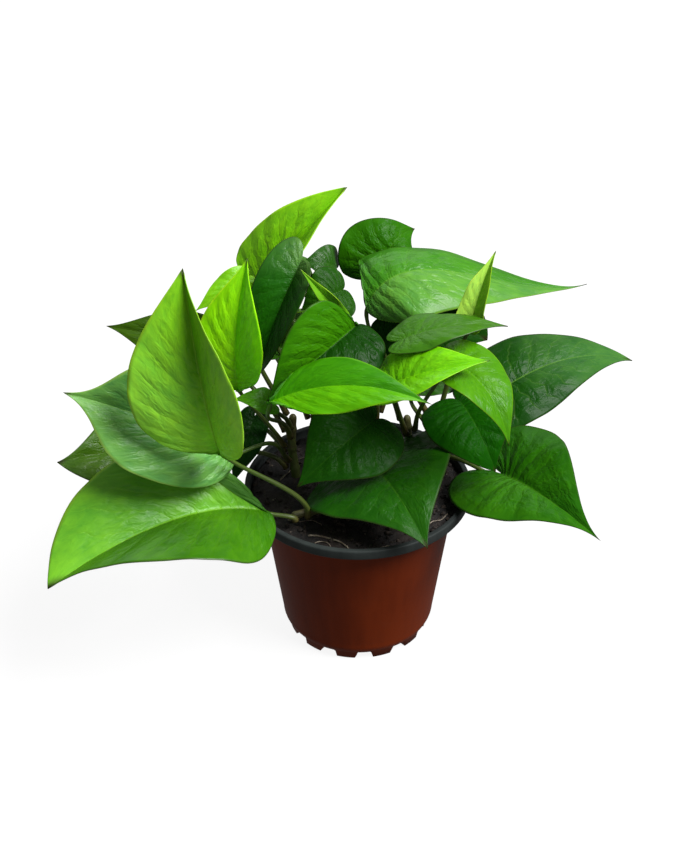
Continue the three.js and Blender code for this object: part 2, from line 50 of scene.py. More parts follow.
STEMS = {
    "stem_left": ((-36, 12, 73), (-36, 12, 95), (-38, 14, 112), (-37, 15, 134)),
    "stem_front": ((-12, -27, 73), (-12, -27, 86), (-13, -27, 95), (-21, -30, 100), (-37, -37, 101)),
    "stem_middle": ((-10, 18, 73), (-10, 18, 95), (-11, 19, 112), (-9, 20, 132)),
    "stem_right": ((28, 15, 73), (28, 15, 95), (29, 16, 112), (28, 17, 132)),
    "stem_far_right": ((43, 22, 73), (43, 22, 95), (45, 23, 112), (44, 24, 130)),
    "stem_back": ((8, 38, 73), (8, 38, 95), (9, 40, 112), (10, 42, 132)),
    "stem_back_left": ((-24, 38, 73), (-24, 38, 95), (-25, 40, 112), (-27, 42, 130)),
}

# base, tip: the two ends of the midrib. width: across the blade. face: the way that the upper
# surface looks. arch: how far the midrib bulges towards the face. sway: how far it bends to the
# right, seen along the leaf. spine: two points that pull the midrib instead. fold, curl: how far
# the left and right half rise from the midrib, in degrees, and how much more at the margin.
# twist: how far the blade rolls from base to tip. lobe, widest, taper: the outline, one value or
# one for each half. stem, at: where the petiole starts, from 0 to 1. leave: the side of the stem
# that it starts on. via: a point that it passes. tone: young, or shade, a darker colour that paints
# the shade of blades in shadow, and mature where not given.
LEAVES = {
    "leaf_01": dict(base=(-49, -42, 108), tip=(-167, -95, 96), width=91, face=(2, -4, 9),
        spine=((-88, -50, 126), (-134, -78, 113)), arch=0, fold=(20, 38), curl=(-8, -4), twist=42,
        lobe=(0.03, -0.2), widest=(0.31, 0.4), taper=(0.24, 0.5), stem="stem_front", at=0.98,
        leave=(0.3, -1, 0)),
    "leaf_02": dict(base=(-67, -38, 140), tip=(-156, -49, 192), width=62, face=(-1, -6, 6), arch=6,
        sway=3, fold=(18, 26), curl=(-12, -12), lobe=0, widest=0.5, taper=(0.2, 0.12),
        stem="stem_left", at=0.55, via=(-50, -26, 143), tone="shade"),
    "leaf_03": dict(base=(-74, -56, 156), tip=(-89, -50, 268), width=77, face=(-2.2, -9, 1), arch=8,
        sway=1, fold=(36, 55), curl=(-14, -12), lobe=-0.06, widest=0.4, taper=(0.38, 0.22),
        stem="stem_front", at=0.84, leave=(0.41, -0.91, 0), tone="young"),
    "leaf_04": dict(base=(-106, 18, 108), tip=(-168, -20, 126), width=62, face=(-1, -6, 7), arch=8,
        fold=(10, 16), curl=(-10, -10), taper=(0.5, 0.1), stem="stem_left", at=0.42),
    "leaf_05": dict(base=(-82, 34, 168), tip=(-142, 32, 183), width=34, face=(0, -7, 5), arch=5,
        fold=(10, 10), stem="stem_left", at=0.8),
    "leaf_06": dict(base=(-67, 2, 158), tip=(-59, 2, 244), width=42, face=(-2.2, -9, 1), arch=6,
        sway=-2, fold=(26, 40), curl=(-10, -10), lobe=-0.08, widest=0.4, taper=0.26, stem="stem_left",
        at=0.68, tone="young"),
    "leaf_07": dict(base=(-62, 32, 215), tip=(-90, 20, 200), width=17, face=(-2, -8, 6), arch=2,
        fold=(10, 10), stem="stem_left", at=0.98, via=(-60, 18, 180)),
    "leaf_08": dict(base=(-58, 48, 188), tip=(-6, 52, 260), width=50, face=(-6, -8, 4), arch=6,
        fold=(34, 56), curl=(-10, -10), lobe=(-0.08, 0.12), widest=(0.3, 0.25), taper=(0.4, 0.2),
        stem="stem_back_left", at=0.95, tone="young"),
    "leaf_09": dict(base=(-31, 23, 230), tip=(-56, 10, 165), width=38, face=(-2, -8, 3), arch=10,
        fold=(60, 10), curl=(-10, -10), lobe=(0.02, 0.16), taper=(0.45, 0.16), stem="stem_back_left",
        at=0.85, tone="shade"),
    "leaf_10": dict(base=(15, 70, 194), tip=(33, 86, 215), width=56, face=(0, -9, 5), arch=10,
        sway=-6, fold=(6, 4), curl=(-12, -10), stem="stem_back", at=0.95, tone="shade"),
    "leaf_11": dict(base=(-12, 70, 198), tip=(-33, 62, 206), width=24, face=(0, -6, 8), arch=5,
        fold=(10, 10), stem="stem_back", at=0.85, leave=(-1, 0.3, 0), tone="shade"),
    "leaf_12": dict(base=(4, 30, 196), tip=(132, 70, 188), width=62, face=(1, -2, 10),
        spine=((24, 34, 248), (90, 56, 181)), arch=0, fold=(6, -4), curl=(-20, -10),
        lobe=(-0.06, 0.02), widest=(0.1, 0.24), taper=(0, 0), stem="stem_far_right", at=0.97),
    "leaf_13": dict(base=(61, 4, 197), tip=(74, 10, 244), width=19, face=(-8, -7, 2), arch=2,
        fold=(50, 12), curl=(0, 0), lobe=0.02, stem="stem_far_right", at=0.85, leave=(0.3, 1, 0),
        via=(54, 27, 160)),
    "leaf_14": dict(base=(22, -15, 203), tip=(81, -10, 209), width=28, face=(0, -1, 9), arch=5,
        stem="stem_right", at=0.98, leave=(-0.9, -0.3, 0), via=(17, 8, 165), tone="shade"),
    "leaf_15": dict(base=(77, 46, 125), tip=(166, 94, 120), width=55, face=(2, -4, 9), arch=12,
        sway=-6, fold=(6, 16), curl=(-14, -14), lobe=0.16, widest=0.16, taper=0.2,
        stem="stem_far_right", at=0.7),
    "leaf_16": dict(base=(81, -8, 110), tip=(131, -76, 114), width=70, face=(-3, -1, 9), arch=6,
        fold=(28, 16), curl=(-12, -14), lobe=0.27, widest=0.16, taper=0.02, stem="stem_far_right",
        at=0.45),
    "leaf_17": dict(base=(48, -20, 195), tip=(81, -56, 162), width=38, face=(4, -7, 7), arch=10,
        sway=-3, fold=(8, 30), curl=(-12, -12), stem="stem_right", at=0.88, leave=(1, -0.6, 0),
        via=(35, -12, 158), tone="young"),
    "leaf_18": dict(base=(15, -28, 182), tip=(70, -38, 205), width=36, face=(0, -6, 8), arch=6,
        fold=(8, 45), curl=(-12, -12), stem="stem_right", at=0.85, leave=(-0.3, -1, 0),
        via=(22, 0, 149), tone="young"),
    "leaf_19": dict(base=(-49, -45, 182), tip=(39, -56, 189), width=31, face=(0, -6, 8), arch=10,
        sway=-7, fold=(15, 10), curl=(-12, -12), lobe=-0.1, widest=0.38, stem="stem_left", at=0.8,
        leave=(-0.2, -1, 0), tone="young"),
    "leaf_20": dict(base=(0, -3, 206), tip=(-50, -29, 172), width=56, face=(0, -8, 5), arch=10,
        fold=(25, 45), curl=(-12, -12), lobe=(0.06, -0.05), widest=(0.25, 0.3), stem="stem_middle",
        at=0.95),
    "leaf_21": dict(base=(-8, 6, 205), tip=(-31, 1, 238), width=10, face=(1, -8, 3), arch=2,
        fold=(30, 30), curl=(0, 0), stem="stem_middle", at=0.7, leave=(1, -0.2, 0), via=(3, 14, 170)),
    "leaf_22": dict(base=(-8, 30, 208), tip=(-32, 24, 198), width=33, face=(-1, -8, 5), arch=4,
        stem="stem_middle", at=0.9, leave=(0, 1, 0), tone="shade"),
    "leaf_23": dict(base=(5, -5, 114), tip=(38, -76, 108), width=90, face=(-1, -2, 10), arch=12,
        fold=(16, 6), curl=(-12, -14), lobe=0.12, widest=0.2, stem="stem_right", at=0.42),
    "leaf_24": dict(base=(10, -8, 147), tip=(-34, -42, 124), width=54, face=(0, -6, 6), arch=8,
        stem="stem_middle", at=0.55, tone="shade"),
    "leaf_25": dict(base=(57, 11, 147), tip=(77, -24, 122), width=54, face=(1, -6, 6), arch=8,
        taper=(0.16, 0.4), stem="stem_far_right", at=0.6, tone="shade"),
    "leaf_26": dict(base=(12, 44, 181), tip=(74, 42, 167), width=56, face=(0, -8, 5), arch=6, sway=-6,
        taper=(0.5, 0.35), stem="stem_back", at=0.75, leave=(0.3, -1, 0), tone="shade"),
    "leaf_27": dict(base=(-59, 20, 130), tip=(-72, -4, 98), width=20, face=(0, -8, 6), arch=4,
        stem="stem_left", at=0.58, tone="shade"),
    "leaf_28": dict(base=(-45, -16, 162), tip=(-69, -16, 165), width=15, face=(0, -4, 8), arch=4,
        stem="stem_left", at=0.9),
    "leaf_29": dict(base=(-46, 52, 152), tip=(-88, 87, 122), width=56, face=(-3, 6, 7), arch=9,
        curl=(-12, -12), stem="stem_back_left", at=0.7),
    "leaf_30": dict(base=(30, 66, 118), tip=(70, 92, 92), width=54, face=(3, 6, 7), arch=9,
        curl=(-12, -12), stem="stem_far_right", at=0.6),
    "leaf_31": dict(base=(-37, 62, 174), tip=(-46, 89, 132), width=44, face=(-1, 8, 6), arch=9,
        curl=(-12, -12), stem="stem_back_left", at=0.8, tone="young"),
    "leaf_32": dict(base=(30, 67, 171), tip=(45, 91, 134), width=46, face=(2, 8, 6), arch=9,
        curl=(-12, -12), stem="stem_back", at=0.75, leave=(1, 0.6, 0)),
    "leaf_33": dict(base=(-6, 64, 124), tip=(-10, 105, 59), width=40, face=(0, 9, 4), arch=10,
        curl=(-12, -12), stem="stem_back", at=0.6, tone="shade"),
    "leaf_34": dict(base=(-36, 65, 202), tip=(-68, 82, 184), width=42, face=(-3, 5, 8), arch=8,
        curl=(-12, -12), stem="stem_back_left", at=0.98, leave=(0.7, 1, 0), via=(-21, 49, 168)),
}

# Base colours of blades, linear. The shade tone is painted shade: a darker copy of the green for
# blades that lie in shadow.
TONES = {
    "young": (0.13, 0.42, 0.003),
    "mature": (0.03, 0.14, 0.003),
    "shade": (0.014, 0.08, 0.002),
}

# The colour of a leaf where it differs from its tone: one, or the left and right half's. These
# colours hold painted light and shade as well as the leaf's own green: halves and leaves lighter for
# painted light and sheen, darker for painted shadow.
LEAF_COLOURS_AND_PAINTED_LIGHT = {
    "leaf_01": ((0.046, 0.19, 0.001), (0.125, 0.42, 0.02)),
    "leaf_02": (0.14, 0.4, 0.072),
    "leaf_03": ((0.15, 0.46, 0.008), (0.13, 0.45, 0.004)),
    "leaf_04": (0.06, 0.17, 0.004),
    "leaf_05": (0.03, 0.085, 0.002),
    "leaf_06": ((0.28, 0.8, 0.002), (0.21, 0.8, 0.002)),
    "leaf_07": (0.2, 0.56, 0.004),
    "leaf_08": (0.2, 0.6, 0.006),
    "leaf_09": ((0.006, 0.05, 0.001), (0.01, 0.1, 0.002)),
    "leaf_10": (0.024, 0.145, 0.001),
    "leaf_12": ((0.045, 0.23, 0.006), (0.09, 0.3, 0.03)),
    "leaf_13": ((0.48, 0.95, 0.12), (0.15, 0.45, 0.01)),
    "leaf_14": (0.036, 0.155, 0.003),
    "leaf_15": (0.058, 0.19, 0.03),
    "leaf_16": ((0.022, 0.14, 0.002), (0.03, 0.16, 0.003)),
    "leaf_17": (0.06, 0.25, 0.002),
    "leaf_18": (0.15, 0.56, 0.002),
    "leaf_19": ((0.036, 0.23, 0.001), (0.085, 0.36, 0.001)),
    "leaf_20": ((0.005, 0.045, 0.001), (0.032, 0.18, 0.001)),
    "leaf_21": (0.13, 0.4, 0.01),
    "leaf_23": (0.013, 0.09, 0.002),
    "leaf_24": (0.01, 0.07, 0.002),
    "leaf_25": (0.006, 0.07, 0.001),
    "leaf_26": (0.008, 0.06, 0.002),
    "leaf_27": (0.005, 0.04, 0.002),
    "leaf_28": (0.07, 0.28, 0.004),
}

# Painted light and shade near the petiole of some blades: a colour lighter than the blade on leaf_03
# and leaf_09 and darker as painted shadow on the others, and the share of the blade where it ends.
PAINTED_ROOT_LIGHT_AND_SHADE = {
    "leaf_01": ((0.045, 0.21, 0.002), 0.65),
    "leaf_03": ((0.32, 0.85, 0.05), 1.0),
    "leaf_09": ((0.11, 0.27, 0.05), 0.6),
    "leaf_15": ((0.006, 0.06, 0.001), 1.05),
    "leaf_16": ((0.014, 0.115, 0.002), 0.65),
}

# How much of the usual gloss each of the dull leaves keeps.
LEAF_GLOSS = {
    "leaf_05": 0.4,
    "leaf_09": 0.6,
    "leaf_10": 0.3,
    "leaf_15": 0.35,
    "leaf_16": 0.35,
    "leaf_17": 0.6,
    "leaf_19": 0.4,
    "leaf_20": 0.3,
    "leaf_22": 0.3,
    "leaf_23": 0.4,
    "leaf_24": 0.2,
    "leaf_25": 0.1,
    "leaf_26": 0.3,
    "leaf_27": 0.3,
}

# Sizes of the pot, soil, stems and leaves, in millimetres, the same as in the solids.
CLEARANCE = 0.3  # between pieces that touch
RIM_RADIUS = 65
RIM_TOP = 97.4
RIM_DEPTH = 5.4  # how far the outer lip hangs down
RIM_INNER_RADIUS = 61.6
SHOULDER_RADIUS = 55.5
SHOULDER_HEIGHT = 88
BASE_RADIUS = 44.4
BASE_CORNER = 9
WALL = 1.2
FOOT_HEIGHT = 2.2
FOOT_COUNT = 12
FOOT_TURN = -0.17  # where the foot nearest the viewer stands, radians
FOOT_SPREAD = 0.3  # angle that one foot covers, radians
FOOT_OUTER_RADIUS = 41
FOOT_INNER_RADIUS = 33
SOIL_EDGE_HEIGHT = 92.4
SOIL_CROWN = 2
SOIL_LUMP = 0.7
STEM_RADIUS = 3
STEM_TIP_RADIUS = 2.2
NODE_SWELLING = 0.35  # extra radius where a leaf was joined
NODE_SPACING = 13
# A blade's fields where its entry gives none.
LOBE = 0.12
WIDEST = 0.25
TAPER = 0.16
FOLD = (8, 8)
CURL = (-8, -8)
WIDEST_ROW = 0.45  # share of the rows that lie behind the widest place
VEIN_SWEEP = 1.3  # how much the side veins bend forward
WAVE = 1.6  # height of the margin's waves
WAVE_TURNS = 15  # radians of waving from base to tip
PETIOLE_FOOT_RADIUS = 1.9
PETIOLE_TOP_RADIUS = 1.15
PETIOLE_OVERLAP = 4  # how far the petiole runs on under the midrib
PETIOLE_SPREAD = 0.45  # how far it leans out from the stem, 0 is straight up

# Fineness of the visible pieces.
ROWS = 56  # from a blade's base to its tip
COLUMNS = 14  # on each side of the midrib
PETIOLE_SIDES = 12
PETIOLE_STEPS = 30
STEM_SIDES = 16
STEM_STEPS = 60
ROOT_SIDES = 8
ROOT_POINTS = 26
LINE_POINTS = 300  # along a petiole, before it is divided evenly
STEM_LINE_POINTS = 400
POT_SEGMENTS = 288
SOIL_SEGMENTS = 160
SOIL_RINGS = 46
FLOOR_SEGMENTS = 96

# Relief of the blades, in millimetres for a blade of FULL_WIDTH or wider, less on smaller ones.
FULL_WIDTH = 60
SIDE_VEINS = 11
VEIN_SHIFT = 0.45  # the right half's side veins start between the left half's
QUILT_HEIGHT = 0.55  # swollen fields between the side veins
CHANNEL_DEPTH = 0.5
CHANNEL_WIDTH = 1.3
RIPPLE_HEIGHT = 0.5
MARGIN_RIPPLE_HEIGHT = 0.35
DENT_HEIGHT = 0.45
BLADE_THICKNESS = 0.62
MARGIN_THINNING = 0.22
KEEL_THICKNESS = 1.1
KEEL_WIDTH = 1.6
VEIN_THICKNESS = 0.25

CRUMB_REACH = 59.5  # how far from the middle of the pot crumbs lie, millimetres
WHOLE_TURN = 6.28  # the range of the random angles
GROOVE_SPREAD = 0.5  # half the angle that a petiole's channel covers, radians


# ---- Small helpers ----------------------------------------------------------

def unit(v):
    v = np.asarray(v, float)
    return v / np.linalg.norm(v)


def bezier(points, t):
    """Point on a cubic Bezier; t may be an array."""
    a, b, c, d = [np.asarray(p, float) for p in points]
    t = np.asarray(t, float)[..., None]
    s = 1 - t
    return s**3 * a + 3 * s * s * t * b + 3 * s * t * t * c + t**3 * d


def bezier_tangent(points, t):
    a, b, c, d = [np.asarray(p, float) for p in points]
    t = np.asarray(t, float)[..., None]
    s = 1 - t
    v = 3 * s * s * (b - a) + 6 * s * t * (c - b) + 3 * t * t * (d - c)
    return v / np.linalg.norm(v, axis=-1, keepdims=True)


def catmull(points, count):
    """Centripetal Catmull-Rom through the points, sampled evenly in its own parameter."""
    pts = [np.asarray(p, float) for p in points]
    n = len(pts)
    out = []
    for t in np.linspace(0, n - 1, count):
        i = min(int(t), n - 2)
        w = t - i
        p1, p2 = pts[i], pts[i + 1]
        p0 = pts[i - 1] if i > 0 else 2 * pts[0] - pts[1]
        p3 = pts[i + 2] if i + 2 < n else 2 * pts[-1] - pts[-2]
        d0, d1, d2 = (np.linalg.norm(b - a) ** 0.5 for a, b in ((p0, p1), (p1, p2), (p2, p3)))
        t1 = ((p1 - p0) / d0 - (p2 - p0) / (d0 + d1) + (p2 - p1) / d1) * d1
        t2 = ((p2 - p1) / d1 - (p3 - p1) / (d1 + d2) + (p3 - p2) / d2) * d1
        square = -3 * p1 + 3 * p2 - 2 * t1 - t2
        cube = 2 * p1 - 2 * p2 + t1 + t2
        out.append(p1 + t1 * w + square * w * w + cube * w**3)
    return np.array(out)


def arc(points):
    """Arc length along a polyline, from 0 to 1, and its whole length."""
    step = np.r_[0, np.cumsum(np.linalg.norm(np.diff(points, axis=0), axis=1))]
    return step / step[-1], step[-1]


def resample(points, count):
    share, _ = arc(points)
    at = np.linspace(0, 1, count)
    return np.stack([np.interp(at, share, points[:, k]) for k in range(3)], axis=1)


def carried_frames(points, first):
    """Normals carried along a polyline without twist."""
    tangents = np.gradient(points, axis=0)
    tangents /= np.linalg.norm(tangents, axis=1, keepdims=True)
    normal = np.asarray(first, float)
    normals = []
    for t in tangents:
        normal = unit(normal - np.dot(normal, t) * t)
        normals.append(normal)
    normals = np.array(normals)
    return tangents, normals, np.cross(tangents, normals)


def add_object(name, data):
    obj = bpy.data.objects.new(name, data)
    bpy.context.scene.collection.objects.link(obj)
    return obj


def new_object(name, verts, faces, materials, indices=None, uv=None, smooth=True):
    """A mesh object in metres from points in millimetres. uv holds one pair per vertex."""
    mesh = bpy.data.meshes.new(name)
    mesh.from_pydata((np.asarray(verts) * MM).tolist(), [], [list(map(int, f)) for f in faces])
    for m in materials:
        mesh.materials.append(m)
    if indices is not None:
        mesh.polygons.foreach_set("material_index", np.asarray(indices, np.int32))
    if uv is not None:
        layer = mesh.uv_layers.new(name="UVMap")
        loops = np.zeros(len(mesh.loops), np.int32)
        mesh.loops.foreach_get("vertex_index", loops)
        layer.data.foreach_set("uv", np.asarray(uv, np.float32)[loops].ravel())
    mesh.polygons.foreach_set("use_smooth", [smooth] * len(mesh.polygons))
    mesh.validate()
    mesh.update()
    return add_object(name, mesh)


def tube(points, radii, sides, first, groove=0.0):
    """Closed round bar: vertices, faces and uv. groove sinks a channel on the side of first."""
    tangents, normals, binormals = carried_frames(points, first)
    angle = np.linspace(0, 2 * math.pi, sides, endpoint=False)
    dent = 1 - groove * np.exp(-((np.minimum(angle, 2 * math.pi - angle) / GROOVE_SPREAD) ** 2))
    verts, uv = [], []
    for i, (p, n, b, r) in enumerate(zip(points, normals, binormals, radii)):
        ring = p + r * (dent * np.cos(angle))[:, None] * n + r * (dent * np.sin(angle))[:, None] * b
        verts.append(ring)
        uv += [(k / sides, i / (len(points) - 1)) for k in range(sides)]
    verts = np.concatenate(verts)
    faces = []
    for i in range(len(points) - 1):
        for k in range(sides):
            a, b = i * sides + k, i * sides + (k + 1) % sides
            faces.append((a, b, b + sides, a + sides))
    start, end = len(verts), len(verts) + 1
    foot = points[0] - tangents[0] * radii[0] * 0.3
    head = points[-1] + tangents[-1] * radii[-1] * 0.5
    verts = np.vstack([verts, foot, head])
    uv += [(0.5, 0), (0.5, 1)]
    base = (len(points) - 1) * sides
    for k in range(sides):
        faces.append((start, (k + 1) % sides, k))
        faces.append((end, base + k, base + (k + 1) % sides))
    return verts, faces, uv


def belongs(obj, node=None):
    """The piece rides on the root body and may stand for a node."""
    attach(obj, "root")
    if node:
        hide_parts(node)


# ---- Materials --------------------------------------------------------------

class Nodes:
    """Short calls for building a node material."""

    def __init__(self, name):
        self.material = bpy.data.materials.new(name)
        self.material.use_nodes = True
        self.tree = self.material.node_tree
        self.tree.nodes.clear()
        out = self.tree.nodes.new("ShaderNodeOutputMaterial")
        self.shader = self.tree.nodes.new("ShaderNodeBsdfPrincipled")
        self.tree.links.new(self.shader.outputs[0], out.inputs["Surface"])

    def link(self, value, socket):
        """Links an output to the socket, or sets it to a number or a colour."""
        if hasattr(value, "links"):
            self.tree.links.new(value, socket)
        elif socket.type == "RGBA":
            socket.default_value = (*value, 1)
        else:
            socket.default_value = value

    def math(self, op, a, b=0.0, c=0.0):
        n = self.tree.nodes.new("ShaderNodeMath")
        n.operation = op
        for socket, value in zip(n.inputs, (a, b, c)):
            self.link(value, socket)
        return n.outputs[0]

    def times(self, a, b):
        return self.math("MULTIPLY", a, b)

    def scaled(self, a, factor, offset):
        """a times factor, plus offset."""
        return self.math("MULTIPLY_ADD", a, factor, offset)

    def ramp(self, value, low, high, to_low=0.0, to_high=1.0):
        """A smooth step from to_low at low to to_high at high."""
        n = self.tree.nodes.new("ShaderNodeMapRange")
        n.interpolation_type = "SMOOTHSTEP"
        for k, v in zip(range(5), (value, low, high, to_low, to_high)):
            self.link(v, n.inputs[k])
        return n.outputs[0]

    def mix(self, factor, a, b):
        """Colour a, or b where factor is 1."""
        n = self.tree.nodes.new("ShaderNodeMix")
        n.data_type = "RGBA"
        self.link(factor, n.inputs[0])
        self.link(a, n.inputs[6])
        self.link(b, n.inputs[7])
        return n.outputs[2]

    def noise(self, vector, scale, detail=4.0, rough=0.55, distortion=0.0):
        n = self.tree.nodes.new("ShaderNodeTexNoise")
        self.link(vector, n.inputs["Vector"])
        n.inputs["Scale"].default_value = scale
        n.inputs["Detail"].default_value = detail
        n.inputs["Roughness"].default_value = rough
        n.inputs["Distortion"].default_value = distortion
        return n.outputs[0]

    def position(self):
        return self.tree.nodes.new("ShaderNodeTexCoord").outputs["Object"]

    def uv(self):
        n = self.tree.nodes.new("ShaderNodeUVMap")
        n.uv_map = "UVMap"
        u, v, _ = self.separate(n.outputs[0])
        return u, v

    def combine(self, x, y, z=0.0):
        n = self.tree.nodes.new("ShaderNodeCombineXYZ")
        for socket, value in zip(n.inputs, (x, y, z)):
            self.link(value, socket)
        return n.outputs[0]

    def separate(self, vector):
        n = self.tree.nodes.new("ShaderNodeSeparateXYZ")
        self.link(vector, n.inputs[0])
        return n.outputs

    def bump(self, height, strength, distance):
        n = self.tree.nodes.new("ShaderNodeBump")
        n.inputs["Strength"].default_value = strength
        n.inputs["Distance"].default_value = distance
        self.link(height, n.inputs["Height"])
        return n.outputs[0]

    def finish(self, colour, roughness, normal=None, **fixed):
        self.link(colour, self.shader.inputs["Base Color"])
        self.link(roughness, self.shader.inputs["Roughness"])
        if normal is not None:
            self.link(normal, self.shader.inputs["Normal"])
        for k, v in fixed.items():
            self.shader.inputs[k.replace("_", " ")].default_value = v
        return self.material


BRIGHT_GREEN = 0.21  # a blade's green from which its rim is pale
DARK_RIM = (0.035, 0.05, 0.012)
DRY_TIP = (0.03, 0.022, 0.008)


def blade_tints(base, under):
    """Dark and light mottling, pale veins and the rim of one half, from its base colour."""
    red, green, blue = base
    light = (red * 1.45, green * 1.22, blue)
    dark = (red * 0.62, green * 0.76, blue)
    if under:
        light = tuple(0.85 * c + 0.022 for c in base)
        dark = tuple(0.6 * c + 0.01 for c in base)
    pale = (red * 1.8 + 0.015, green * 1.3 + 0.03, blue + 0.004)
    rim = DARK_RIM
    if green > BRIGHT_GREEN:
        rim = (red * 2.2 + 0.05, green * 1.3 + 0.05, blue + 0.01)
    return dark, light, pale, rim


def blade_material(name, halves, root, seed, size, gloss, under=False):
    """A waxy blade: thin midrib, sunken side veins, hammered relief, mottling, thin rim, dark tip."""
    n = Nodes(name)
    u, v = n.uv()
    signed = n.scaled(u, 2.0, -1.0)
    across = n.math("ABSOLUTE", signed)
    hand = n.math("GREATER_THAN", u, 0.5)

    def stretched(wide, long, *noise):
        """Noise with wide and long repeats over the blade's width and length."""
        return n.noise(n.combine(n.times(signed, wide), n.times(v, long), seed), 1.0, *noise)

    # Side veins lie on lines of constant v and swing a little from side to side.
    wander = stretched(2.5, 3.0, 2.0)
    phase = n.scaled(v, float(SIDE_VEINS), n.scaled(hand, VEIN_SHIFT, n.times(wander, 0.9)))
    distance = n.times(n.math("PINGPONG", phase, 0.5), 2.0)
    fade = n.times(n.ramp(across, 0.7, 1.0, 1.0, 0.0), n.ramp(v, 0.8, 0.95, 1.0, 0.0))
    vein = n.times(n.ramp(distance, 0.0, 0.16, 1.0, 0.0), fade)
    midrib = n.ramp(n.times(across, n.math("SUBTRACT", 1.25, v)), 0.003, 0.016, 1.0, 0.0)
    pillow = stretched(7.0, 30.0, 2.5, 0.5, 0.6)
    striation = stretched(3.0, 70.0, 3.0)
    mottle = n.noise(n.position(), 55.0, 4.0, 0.6, 0.4)
    blotch = n.noise(n.position(), 11.0, 2.0, 0.5)

    # The two halves' colours, with their painted light and shade, meet softly at the midrib, and a
    # root colour of painted light and shade fades out along the blade.
    left, right = (blade_tints(base, under) for base in halves)
    side = n.ramp(u, 0.485, 0.515)
    dark, light, pale, rim = (a if a == b else n.mix(side, a, b) for a, b in zip(left, right))
    if root:
        painted_root_colour, reach = root
        near = n.ramp(n.scaled(mottle, 0.2, v), reach - 0.5, reach, 1.0, 0.0)
        root_dark, root_light = blade_tints(painted_root_colour, under)[:2]
        dark = n.mix(near, dark, root_dark)
        light = n.mix(near, light, root_light)

    shade = n.scaled(pillow, 0.45, n.scaled(mottle, 0.45, n.times(blotch, 0.7)))
    colour = n.mix(n.ramp(shade, 0.5, 1.1), dark, light)
    colour = n.mix(n.times(vein, 0.16), colour, pale)
    colour = n.mix(n.times(midrib, 0.55), colour, pale)
    colour = n.mix(n.times(n.ramp(across, 0.965, 0.995), 0.6), colour, rim)
    tip = n.ramp(n.scaled(mottle, 0.03, v), 0.975, 1.01)
    colour = n.mix(n.times(tip, 0.85), colour, DRY_TIP)
    rough = n.scaled(mottle, 0.22, 0.5 if under else 0.25)

    fields = n.scaled(pillow, 1.1, n.times(striation, 0.25))
    quilt = n.scaled(n.math("POWER", distance, 0.5), 0.5, fields)
    relief = n.scaled(mottle, 0.25, n.times(quilt, n.scaled(fade, 0.8, 0.2)))
    normal = n.bump(relief, 0.7, 0.0013 * size)
    specular = gloss * (0.22 if under else 0.36)
    return n.finish(colour, rough, normal, IOR=1.45, Specular_IOR_Level=specular)


def petiole_material():
    n = Nodes("petiole")
    u, v = n.uv()
    streak = n.noise(n.combine(n.times(u, 14.0), n.times(v, 2.0)), 1.0, 3.0)
    patch = n.noise(n.position(), 60.0, 3.0)
    green = n.mix(v, (0.095, 0.12, 0.022), (0.07, 0.15, 0.012))
    dark_green = n.mix(0.6, green, (0.035, 0.055, 0.01))
    colour = n.mix(n.ramp(streak, 0.35, 0.75), dark_green, green)
    brown = n.ramp(n.scaled(patch, 0.5, n.math("SUBTRACT", 0.25, v)), 0.28, 0.5)
    colour = n.mix(n.times(brown, 0.6), colour, (0.11, 0.065, 0.025))
    normal = n.bump(n.scaled(streak, 0.7, patch), 0.35, 0.0006)
    return n.finish(colour, n.scaled(patch, 0.2, 0.3), normal, IOR=1.45)


def stem_material():
    n = Nodes("vine_stem")
    position = n.position()
    patch = n.noise(position, 90.0, 5.0, 0.65)
    wide = n.noise(position, 25.0, 2.0)
    colour = n.mix(n.ramp(wide, 0.35, 0.65), (0.07, 0.095, 0.02), (0.12, 0.105, 0.04))
    colour = n.mix(n.ramp(patch, 0.5, 0.75), colour, (0.055, 0.035, 0.015))
    normal = n.bump(patch, 0.5, 0.0008)
    return n.finish(colour, n.scaled(patch, 0.25, 0.4), normal, IOR=1.45)


def soil_material():
    n = Nodes("potting_soil")
    position = n.position()
    x, y, z = n.separate(position)
    grain = n.noise(position, 260.0, 6.0, 0.7)
    clod = n.noise(position, 70.0, 4.0, 0.6)
    fibre = n.noise(n.combine(n.times(x, 500.0), n.times(y, 90.0), n.times(z, 200.0)), 1.0, 3.0)
    colour = n.mix(n.ramp(clod, 0.35, 0.7), (0.004, 0.003, 0.003), (0.018, 0.011, 0.008))
    colour = n.mix(n.ramp(fibre, 0.62, 0.75), colour, (0.05, 0.034, 0.022))
    colour = n.mix(n.ramp(grain, 0.66, 0.74), colour, (0.08, 0.062, 0.048))
    normal = n.bump(n.scaled(grain, 0.6, clod), 0.9, 0.0018)
    return n.finish(colour, n.scaled(grain, 0.3, 0.6), normal)


def pot_material(name, light, dark, rough):
    """Thin moulded plastic: faint streaks from forming, dust and a few scuffs."""
    n = Nodes(name)
    position = n.position()
    x, y, z = n.separate(position)
    cloud = n.noise(position, 18.0, 3.0)
    grain = n.noise(position, 420.0, 3.0)
    streak = n.noise(n.combine(n.times(x, 160.0), n.times(y, 160.0), n.times(z, 9.0)), 1.0, 3.0)
    shade = n.scaled(streak, 0.4, n.times(cloud, 0.6))
    colour = n.mix(n.ramp(shade, 0.35, 0.65), dark, light)
    scratch = n.ramp(n.noise(position, 150.0, 2.0), 0.74, 0.78)
    scuff = n.times(scratch, n.ramp(n.noise(position, 37.0, 1.0), 0.55, 0.62))
    colour = n.mix(n.times(scuff, 0.5), colour, tuple(c * 1.5 + 0.06 for c in light))
    dust = n.ramp(n.noise(position, 30.0, 5.0, 0.7), 0.55, 0.8)
    colour = n.mix(n.times(dust, 0.06), colour, (0.16, 0.09, 0.06))
    roughness = n.scaled(cloud, 0.22, n.scaled(dust, 0.12, rough))
    normal = n.bump(n.scaled(grain, 0.4, n.times(streak, 0.6)), 0.25, 0.0004)
    return n.finish(colour, roughness, normal, IOR=1.5, Specular_IOR_Level=0.1)


